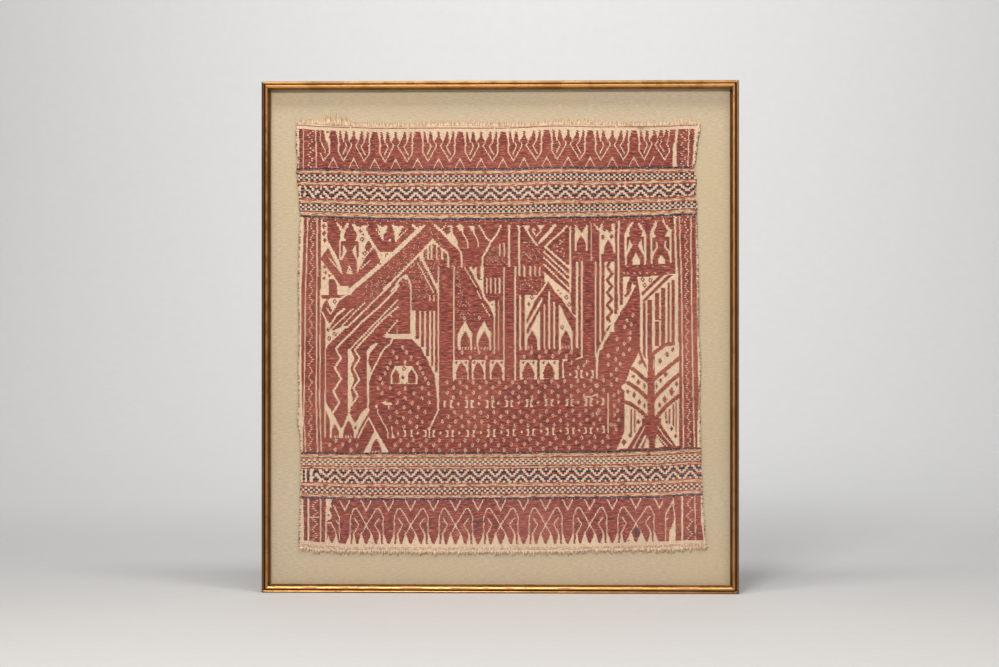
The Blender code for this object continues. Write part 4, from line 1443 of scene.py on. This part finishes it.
def strands(name, paths, radius, sides, finish):
    """Many thin threads in one mesh, each a tube that tapers a little to its end."""
    points, faces = [], []
    for path in paths:
        path = np.array(path)
        along = np.gradient(path, axis=0)
        along /= np.linalg.norm(along, axis=1)[:, None]
        side = np.cross(along, (0.0, 1.0, 0.0))
        side /= np.maximum(np.linalg.norm(side, axis=1), 1e-9)[:, None]
        up = np.cross(side, along)
        start = len(points)
        for step, centre in enumerate(path):
            size = radius * (1 - 0.45 * step / (len(path) - 1))
            for turn in range(sides):
                angle = 2 * pi * turn / sides
                points.append(centre + size * (cos(angle) * side[step] + sin(angle) * up[step]))
        for step in range(len(path) - 1):
            for turn in range(sides):
                a = start + step * sides + turn
                b = start + step * sides + (turn + 1) % sides
                faces.append((a, b, b + sides, a + sides))
        faces.append(tuple(start + turn for turn in reversed(range(sides))))
        last = start + (len(path) - 1) * sides
        faces.append(tuple(last + turn for turn in range(sides)))
    return mesh_piece(name, np.array(points), faces, finish, smooth=True)


def cotton_finish(name, tone):
    """Handspun cotton in a plain weave, yellowed and stained with age."""
    finish = Finish(name, roughness=0.92)
    x = finish.part_of_place("X")
    z = finish.part_of_place("Z")
    clouds = finish.cloudy((9.0, 9.0, 9.0), detail=4.0)
    slubs = finish.cloudy((150.0, 1.0, 330.0), detail=2.0, shift=3.0)
    warps = finish.cloudy((420.0, 1.0, 90.0), detail=1.0, shift=7.0)
    pale = finish.blend(clouds.between(0.35, 0.7), tone, [c * 0.82 for c in tone])
    pale = finish.blend(slubs.between(0.48, 0.68) * 0.6, pale, [c * 0.62 for c in tone])
    pale = finish.blend(warps.between(0.45, 0.65) * 0.5, pale, [min(1.0, c * 1.12) for c in tone])
    finish.feed("Base Color", finish.stained(pale))
    weave = (x * (2 * pi / COTTON_WEAVE)).wave() * (z * (2 * pi / COTTON_WEAVE)).wave()
    finish.raise_by(weave * 0.5 + slubs * 0.8 + warps * 0.5, 0.6, 0.00015)
    return finish


def fringe_finish():
    """Frayed cotton in paler and darker streaks, with browner patches."""
    finish = Finish("frayed_cotton", roughness=0.95)
    locks = finish.cloudy((420.0, 1.0, 90.0), detail=2.0, roughness=0.6)
    ends = finish.cloudy((230.0, 1.0, 160.0), detail=2.0, shift=5.0)
    pale = finish.blend(locks.between(0.36, 0.56), (0.56, 0.38, 0.23), (0.88, 0.68, 0.48))
    pale = finish.blend(ends.between(0.56, 0.72) * 0.5, pale, (0.62, 0.37, 0.17))
    finish.feed("Base Color", pale)
    return finish


def yarn_finish(name, tone, wear_and_painted_light, deep):
    """A pattern yarn, faded unevenly, with painted shade and painted highlights streaked along each pick and
    painted shade in the gaps between picks.
    """
    finish = Finish(name, roughness=0.88)
    picks = finish.cloudy((95.0, 1.0, 540.0), detail=2.0, roughness=0.6)
    # Noise for the gaps between picks, where painted shade goes
    pick_gaps = finish.cloudy((60.0, 1.0, 380.0), detail=2.0, shift=15.0)
    skeins = finish.cloudy((6.0, 1.0, 60.0), detail=3.0, shift=11.0)
    fading = finish.cloudy((5.0, 1.0, 7.0), detail=3.0, shift=5.0)
    fibres = finish.cloudy((1400.0, 1.0, 500.0), detail=1.0, shift=2.0)
    # Painted shade and painted highlights: dark and bright streaks along the picks
    yarn_colour = finish.blend(picks.between(0.42, 0.56), deep, tone)
    yarn_colour = finish.blend(picks.between(0.54, 0.66) * 0.9, yarn_colour, wear_and_painted_light)
    # Painted shade in the gaps between picks
    yarn_colour = finish.blend(pick_gaps.between(0.54, 0.64) * 0.8, yarn_colour, [c * 0.5 for c in deep])
    yarn_colour = finish.blend(skeins.between(0.35, 0.75) * 0.40, yarn_colour, deep)
    yarn_colour = finish.blend(fading.between(0.45, 0.75) * 0.35, yarn_colour, wear_and_painted_light)
    yarn_colour = finish.blend(fibres.between(0.6, 0.8) * 0.25, yarn_colour, wear_and_painted_light)
    finish.feed("Base Color", finish.stained(yarn_colour))
    finish.raise_by(picks - pick_gaps * 0.8 + fibres * 0.3, 0.8, 0.0005)
    return finish


def linen_finish():
    """Undyed linen, with thick and thin threads both ways."""
    finish = Finish("undyed_linen", roughness=0.9)
    tone = (0.535, 0.437, 0.298)
    x = finish.part_of_place("X")
    z = finish.part_of_place("Z")
    wefts = finish.cloudy((120.0, 1.0, 560.0), detail=2.0)
    warps = finish.cloudy((560.0, 1.0, 130.0), detail=2.0, shift=4.0)
    clouds = finish.cloudy((7.0, 7.0, 7.0), detail=3.0, shift=9.0)
    cloth = finish.blend(wefts.between(0.34, 0.66), [c * 0.90 for c in tone], [c * 1.08 for c in tone])
    cloth = finish.blend(warps.between(0.40, 0.66) * 0.45, cloth, [c * 0.90 for c in tone])
    cloth = finish.blend(clouds.between(0.4, 0.7) * 0.35, cloth, (0.56, 0.44, 0.25))
    finish.feed("Base Color", cloth)
    weave = (x * (2 * pi / LINEN_WEAVE)).wave() * (z * (2 * pi / LINEN_WEAVE)).wave()
    finish.raise_by(weave * 0.5 + wefts + warps, 0.5, 0.00012)
    return finish


def gilding_finish():
    """Gold leaf over red bole, rubbed through on the high places, with painted shade on the side rails, on
    the outer bead of the bottom rail, in the groove and at the inner lip.
    """
    finish = Finish("worn_gilding", roughness=0.38, coat_weight=0.12, coat_roughness=0.22)
    x = finish.part_of_place("X")
    z = finish.part_of_place("Z")
    from_side = FRAME_WIDTH / 2 - x.size()
    from_end = FRAME_HEIGHT / 2 - (z - FRAME_HEIGHT / 2).size()
    inward = from_side.least(from_end)
    # The side rails, which get painted shade below
    upright = (from_end - from_side).between(-0.0004, 0.0004)
    # The bottom rail's lower part, where painted shade goes on the outer bead
    foot = (1 - z.between(0.006, 0.016)) * (1 - upright)
    rubbing = finish.cloudy((160.0, 160.0, 160.0), detail=4.0, roughness=0.65)
    streaks = finish.cloudy((45.0, 45.0, 45.0), detail=3.0, shift=6.0)
    chips = finish.cloudy((75.0, 75.0, 75.0), detail=4.0, roughness=0.7, shift=13.0)
    # Painted shade in the groove between the beads, wider on the side rails
    thin_groove = inward.between(0.0038, 0.0048) * (1 - inward.between(0.0054, 0.0064))
    wide_groove = inward.between(0.0028, 0.0037) * (1 - inward.between(0.0056, 0.0066)) * upright
    groove = thin_groove.most(wide_groove)
    # Painted shade on the inner slope, the lip and the recess behind it
    hollow = inward.between(0.0100, 0.0112)
    crest = inward.between(0.0064, 0.0074) * (1 - inward.between(0.0088, 0.0098))
    outside = 1 - inward.between(0.0040, 0.0056)
    bole = rubbing.between(0.58, 0.70).most(crest * streaks.between(0.42, 0.62) * 0.7)
    gold = finish.blend(streaks.between(0.3, 0.7), (0.56, 0.27, 0.075), (0.86, 0.50, 0.17))
    # Painted shade: the side rails darker than the top and bottom rails, which catch the light from above
    gold_with_painted_shade = finish.blend(upright * 0.55, gold, (0.30, 0.115, 0.022))
    # Painted shade on the outer bead of the bottom rail and of the side rails, which face away from the light
    # from above
    gold_with_painted_shade = finish.blend(foot.most(upright) * outside * 0.75, gold_with_painted_shade, (0.15, 0.060, 0.013))
    wear_and_painted_light = finish.blend(bole * 0.85, gold_with_painted_shade, (0.26, 0.07, 0.035))
    chipped = finish.blend(chips.between(0.72, 0.75) * 0.8, wear_and_painted_light, (0.66, 0.55, 0.42))
    # Painted shade in the groove and at the inner lip, nearly black
    gold_with_painted_hollow_shade = finish.blend(groove.most(hollow * 0.75), chipped, (0.045, 0.020, 0.008))
    finish.feed("Base Color", gold_with_painted_hollow_shade)
    finish.feed("Metallic", 0.95 - 0.85 * (bole * 0.85).most(groove))
    finish.feed("Roughness", 0.30 + 0.40 * bole.most(groove))
    finish.raise_by(rubbing + streaks * 0.5, 0.15, 0.0004)
    return finish


def glass_finish():
    """Coated picture glass: clear, with a faint violet gloss."""
    finish = Finish("coated_picture_glass", roughness=0.03, alpha=0.012, metallic=1.0)
    bloom = finish.cloudy((3.0, 1.0, 3.0), detail=1.0)
    tint = finish.blend(bloom.between(0.4, 0.7), (0.80, 0.66, 0.86), (0.66, 0.60, 0.90))
    finish.feed("Base Color", tint)
    return finish


def board_finish():
    """Grey pulp board, flecked."""
    finish = Finish("grey_pulp_board", roughness=0.9)
    flecks = finish.cloudy((420.0, 420.0, 420.0), detail=3.0)
    clouds = finish.cloudy((12.0, 12.0, 12.0), detail=3.0, shift=4.0)
    pulp = finish.blend(flecks.between(0.35, 0.7), (0.30, 0.26, 0.20), (0.46, 0.41, 0.33))
    pulp = finish.blend(clouds.between(0.4, 0.7) * 0.4, pulp, (0.38, 0.32, 0.24))
    finish.feed("Base Color", pulp)
    finish.raise_by(flecks, 0.4, 0.0003)
    return finish


def make_linen(finish):
    """The linen that the cloth is sewn to, a little uneven over its board."""
    low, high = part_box("linen")
    columns, rows = 120, 130
    x = np.linspace(low.x, high.x, columns + 1)[None, :].repeat(rows + 1, axis=0)
    z = np.linspace(low.z, high.z, rows + 1)[:, None].repeat(columns + 1, axis=1)
    uneven = LINEN_UNEVEN * (1 + np.sin(2 * pi * x / 0.061 + 3 * z) * np.sin(2 * pi * z / 0.083)) / 2
    front = np.stack([x, low.y - LINEN_LIFT + uneven, z], axis=-1).reshape(-1, 3)
    back = front + (0.0, LINEN_GROUND_THICKNESS, 0.0)
    return sheet_from_grids("linen_ground", front, back, columns, rows, finish)


def sheet_from_grids(name, front, back, columns, rows, finish):
    """A thin closed sheet between two like grids of points."""
    stride = columns + 1
    total = stride * (rows + 1)
    faces = []
    for row in range(rows):
        for column in range(columns):
            a = row * stride + column
            faces.append((a, a + 1, a + stride + 1, a + stride))
            faces.append((total + a, total + a + stride, total + a + stride + 1, total + a + 1))
    rim = list(range(stride))
    rim += [row * stride + columns for row in range(1, rows + 1)]
    rim += [rows * stride + column for column in reversed(range(columns))]
    rim += [row * stride for row in reversed(range(1, rows))]
    for a, b in zip(rim, rim[1:] + rim[:1]):
        faces.append((b, a, a + total, b + total))
    piece = mesh_piece(name, np.concatenate([front, back]), faces, finish, smooth=True)
    piece.data.set_sharp_from_angle(angle=radians(50))
    return piece


def make_cloth_ground(finish):
    """The cotton ground of the tampan, front and back."""
    columns, rows = 130, 150
    up = np.linspace(0, 1, rows + 1)[:, None].repeat(columns + 1, axis=1)
    across = np.linspace(0, 1, columns + 1)[None, :].repeat(rows + 1, axis=0)
    level = CLOTH_FOOT + up * (CLOTH_TOP - CLOTH_FOOT)
    x = left_edge(level) + across * (right_edge(level) - left_edge(level))
    z = foot_edge(x) + up * (top_edge(x) - foot_edge(x))
    front = np.stack([x, cloth_front(x, z), z], axis=-1).reshape(-1, 3)
    back = front + (0.0, CLOTH_GROUND_THICKNESS, 0.0)
    return sheet_from_grids("tampan_ground", front, back, columns, rows, finish)


def frayed_end(name, edge, upward, length, widths, finish, chance):
    """The cut warps beyond one end of the cloth, matted into locks that fall to the linen."""
    level = float(edge(np.array([0.0]))[0])
    start = float(left_edge(np.array([level]))[0]) + 0.001
    stop = float(right_edge(np.array([level]))[0]) - 0.001
    linen = depth(linen_front()) - 0.0005
    # At the foot the locks vary more in length, lean more and reach the linen later
    shares, slack, hold = ((0.70, 1.0), 1.0, 1.3) if upward > 0 else ((0.62, 1.0), 1.4, 2.4)
    paths = []
    lock = start
    while lock < stop:
        width = chance.uniform(*widths)
        middle = lock + width / 2
        share = (middle - TUFT_MIDDLE) / TUFT_HALF_WIDTH
        tuft = max(0.0, 1.0 - share * share) if upward > 0 else 0.0
        reach = length * chance.uniform(*shares) + TUFT_HEIGHT * tuft * chance.uniform(0.6, 1.0)
        lean = chance.uniform(-0.0016, 0.0016) * slack - 0.0030 * tuft
        gather = chance.uniform(0.15, 0.60) * slack
        bulge = chance.uniform(0.0003, 0.0010)
        for thread in range(int(width / THREAD_PITCH)):
            side = chance.uniform(-0.58, 0.58) * width
            root_x = np.array([middle + side])
            root_z = edge(root_x)
            root_y = float(cloth_front(root_x, root_z)[0]) + 0.0003
            own = reach * (1 - 1.3 * (side / width) ** 2) * chance.uniform(0.80, 1.08)
            curl = chance.uniform(-0.0006, 0.0006)
            path = []
            for step in range(5):
                along = step / 4
                fall = along ** hold
                path.append((
                    middle + side * (1 - gather * along) + lean * along * along + curl * sin(5 * along),
                    root_y + (linen - root_y) * fall - bulge * sin(pi * along),
                    float(root_z[0]) + upward * (own * along - 0.0005),
                ))
            paths.append(path)
        if chance.random() < 0.30:
            far = reach * chance.uniform(1.05, 1.35)
            stray = chance.uniform(-0.0045, 0.0045)
            foot = float(edge(np.array([middle]))[0])
            paths.append([
                (middle + stray * (step / 4) ** 2, linen - 0.0006 - 0.0010 * sin(pi * step / 4),
                 foot + upward * far * step / 4)
                for step in range(5)
            ])
        lock += width * chance.uniform(0.86, 1.0)
    return strands(name, paths, THREAD_RADIUS, 3, finish)


def selvedge_marks(chart, chance):
    """Turns of the madder weft that show at both selvedges."""
    down = 10
    while down < 426.0:
        z = np.array(CHART_ORIGIN_HEIGHT - down * STEP)
        for edge, inward in ((left_edge, 1), (right_edge, -1)):
            if chance.random() < 0.5:
                across = float(edge(z)) / STEP + CHART_MIDDLE + inward * chance.uniform(0.3, 1)
                chart.post(across, 1, down, down + chance.uniform(0.5, 1.4), MADDER)
        down += chance.uniform(1.0, 2.4)


def sewing(name, finish, chance):
    """The stitches that hold both selvedges to the linen."""
    paths = []
    linen = depth(linen_front()) - 0.0002
    for edge, outward in ((left_edge, -1), (right_edge, 1)):
        z = CLOTH_FOOT + 0.004
        while z < CLOTH_TOP - 0.003:
            x = float(edge(np.array([z]))[0])
            inside = x - outward * chance.uniform(0.0004, 0.0018)
            outside = x + outward * chance.uniform(0.0003, 0.0011)
            tilt = chance.uniform(-0.0018, 0.0018)
            height = float(cloth_front(np.array([inside]), np.array([z]))[0]) - 0.0005
            paths.append([
                (inside - outward * 0.0004, height + 0.0006, z + tilt),
                (inside, height, z + tilt * 0.8),
                (x, height + 0.0001, z),
                (outside, linen - 0.0003, z - tilt * 0.6),
                (outside + outward * 0.0003, linen + 0.0002, z - tilt * 0.7),
            ])
            z += chance.choice((0.0030, 0.0045, 0.0060, 0.0110)) * chance.uniform(0.8, 1.2)
    return strands(name, paths, 0.00055, 5, finish)


def lamp(name, place, target, width, height, power, colour=(1.0, 1.0, 1.0)):
    light = bpy.data.lights.new(name, "AREA")
    light.shape = "RECTANGLE"
    light.size = width
    light.size_y = height
    light.energy = power
    light.color = colour
    holder = bpy.data.objects.new(name, light)
    holder.location = place
    holder.rotation_euler = (Vector(target) - Vector(place)).to_track_quat("-Z", "Y").to_euler()
    bpy.context.scene.collection.objects.link(holder)


def make_floor():
    """A pale floor that sweeps up into a wall far behind."""
    finish = Finish("pale_floor", roughness=0.8)
    grain = finish.cloudy((40.0, 40.0, 40.0), detail=4.0)
    finish.feed("Base Color", finish.blend(grain, (0.66, 0.66, 0.66), (0.70, 0.70, 0.70)))
    half_width, near, bend, radius, height = 16.0, -16.0, 2.6, 1.6, 9.0
    profile = [(near, 0.0)]
    for step in range(25):
        turn = radians(90 * step / 24)
        profile.append((bend + radius * sin(turn), radius - radius * cos(turn)))
    profile.append((bend + radius, height))
    points = np.array([(x, y, z) for y, z in profile for x in (-half_width, half_width)])
    faces = [(2 * i, 2 * i + 1, 2 * i + 3, 2 * i + 2) for i in range(len(profile) - 1)]
    floor = mesh_piece("floor", points, faces, finish, smooth=True)


def set_camera():
    turn = radians(CAMERA_AZIMUTH)
    front = -FRAME_DEPTH / 2
    lens = bpy.data.cameras.new("camera")
    lens.lens = CAMERA_LENS
    lens.sensor_width = 36.0
    lens.clip_start = 0.05
    camera = bpy.data.objects.new("camera", lens)
    camera.location = (CAMERA_DISTANCE * sin(turn), front - CAMERA_DISTANCE * cos(turn), CAMERA_HEIGHT)
    camera.rotation_euler = (radians(90), 0.0, turn)
    bpy.context.scene.collection.objects.link(camera)
    bpy.context.scene.camera = camera


def light_studio():
    world = bpy.data.worlds.new("studio")
    world.use_nodes = True
    sky = world.node_tree.nodes["Background"]
    sky.inputs["Color"].default_value = (0.85, 0.85, 0.86, 1.0)
    sky.inputs["Strength"].default_value = 0.26
    bpy.context.scene.world = world
    lamp("key", (-0.5, -3.2, 1.80), (0.0, 0.0, 0.40), 0.8, 0.5, 66.0, (1.0, 0.955, 0.905))
    lamp("fill", (2.6, -2.8, 1.3), (0.0, 0.0, 0.40), 1.6, 1.6, 14.0, (1.0, 0.97, 0.94))
    lamp("backdrop", (0.0, 1.9, 2.7), (0.0, 4.2, 1.0), 3.0, 0.6, 60.0)
    lamp("overhead", (0.0, -0.8, 2.5), (0.0, 0.0, 0.40), 1.6, 0.5, 32.0, (1.0, 0.97, 0.92))


def main():
    set_camera()
    light_studio()
    make_floor()
    chance = Random(11)
    chart = draw_chart(chance)

    cotton = cotton_finish("raw_cotton_ground", (0.71, 0.53, 0.36))
    madder = yarn_finish("madder_yarn", (0.35, 0.078, 0.050), (0.54, 0.185, 0.125), (0.17, 0.034, 0.025))
    indigo = yarn_finish("indigo_yarn", (0.010, 0.046, 0.080), (0.05, 0.13, 0.18), (0.006, 0.018, 0.036))
    ochre = yarn_finish("ochre_yarn", (0.60, 0.36, 0.175), (0.70, 0.49, 0.28), (0.42, 0.20, 0.095))
    frayed = fringe_finish()
    sewn = yarn_finish("brown_sewing_thread", (0.085, 0.040, 0.026), (0.16, 0.08, 0.05), (0.04, 0.018, 0.012))

    ground = make_cloth_ground(cotton)
    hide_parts("tampan")
    floats = [
        weave_floats("madder_head", chart, MADDER, CHART_TOP, FIELD_TOP, MADDER_CREST, madder),
        weave_floats("madder_field", chart, MADDER, FIELD_TOP, FIELD_FOOT, MADDER_CREST, madder),
        weave_floats("madder_foot", chart, MADDER, FIELD_FOOT, CHART_FOOT, MADDER_CREST, madder),
        weave_floats("indigo_lines", chart, INDIGO, CHART_TOP, CHART_FOOT, INDIGO_CREST, indigo),
        weave_floats("ochre_stripes", chart, OCHRE, CHART_TOP, CHART_FOOT, OCHRE_CREST, ochre),
    ]
    fringes = [
        frayed_end("frayed_head", top_edge, 1, 0.0112, (0.0014, 0.0032), frayed, chance),
        frayed_end("frayed_foot", foot_edge, -1, 0.0108, (0.0030, 0.0066), frayed, chance),
    ]
    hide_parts("fringe_top")
    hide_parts("fringe_foot")
    stitches = sewing("selvedge_stitches", sewn, chance)
    linen = make_linen(linen_finish())
    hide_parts("linen")
    for piece in (ground, *floats, stitches):
        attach(piece, "root")
    for piece in fringes:
        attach(piece, "root")
    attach(linen, "root")

    dress("glass", glass_finish())
    dress("board", board_finish())
    gilding = gilding_finish()
    for rail in ("rail_bottom", "rail_left", "rail_top", "rail_right"):
        dress(rail, gilding)
    bpy.context.scene.view_settings.view_transform = "Standard"


def dress(node, finish):
    """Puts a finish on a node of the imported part."""
    for slot in bpy.data.objects[node].material_slots:
        slot.material = finish.material


main()
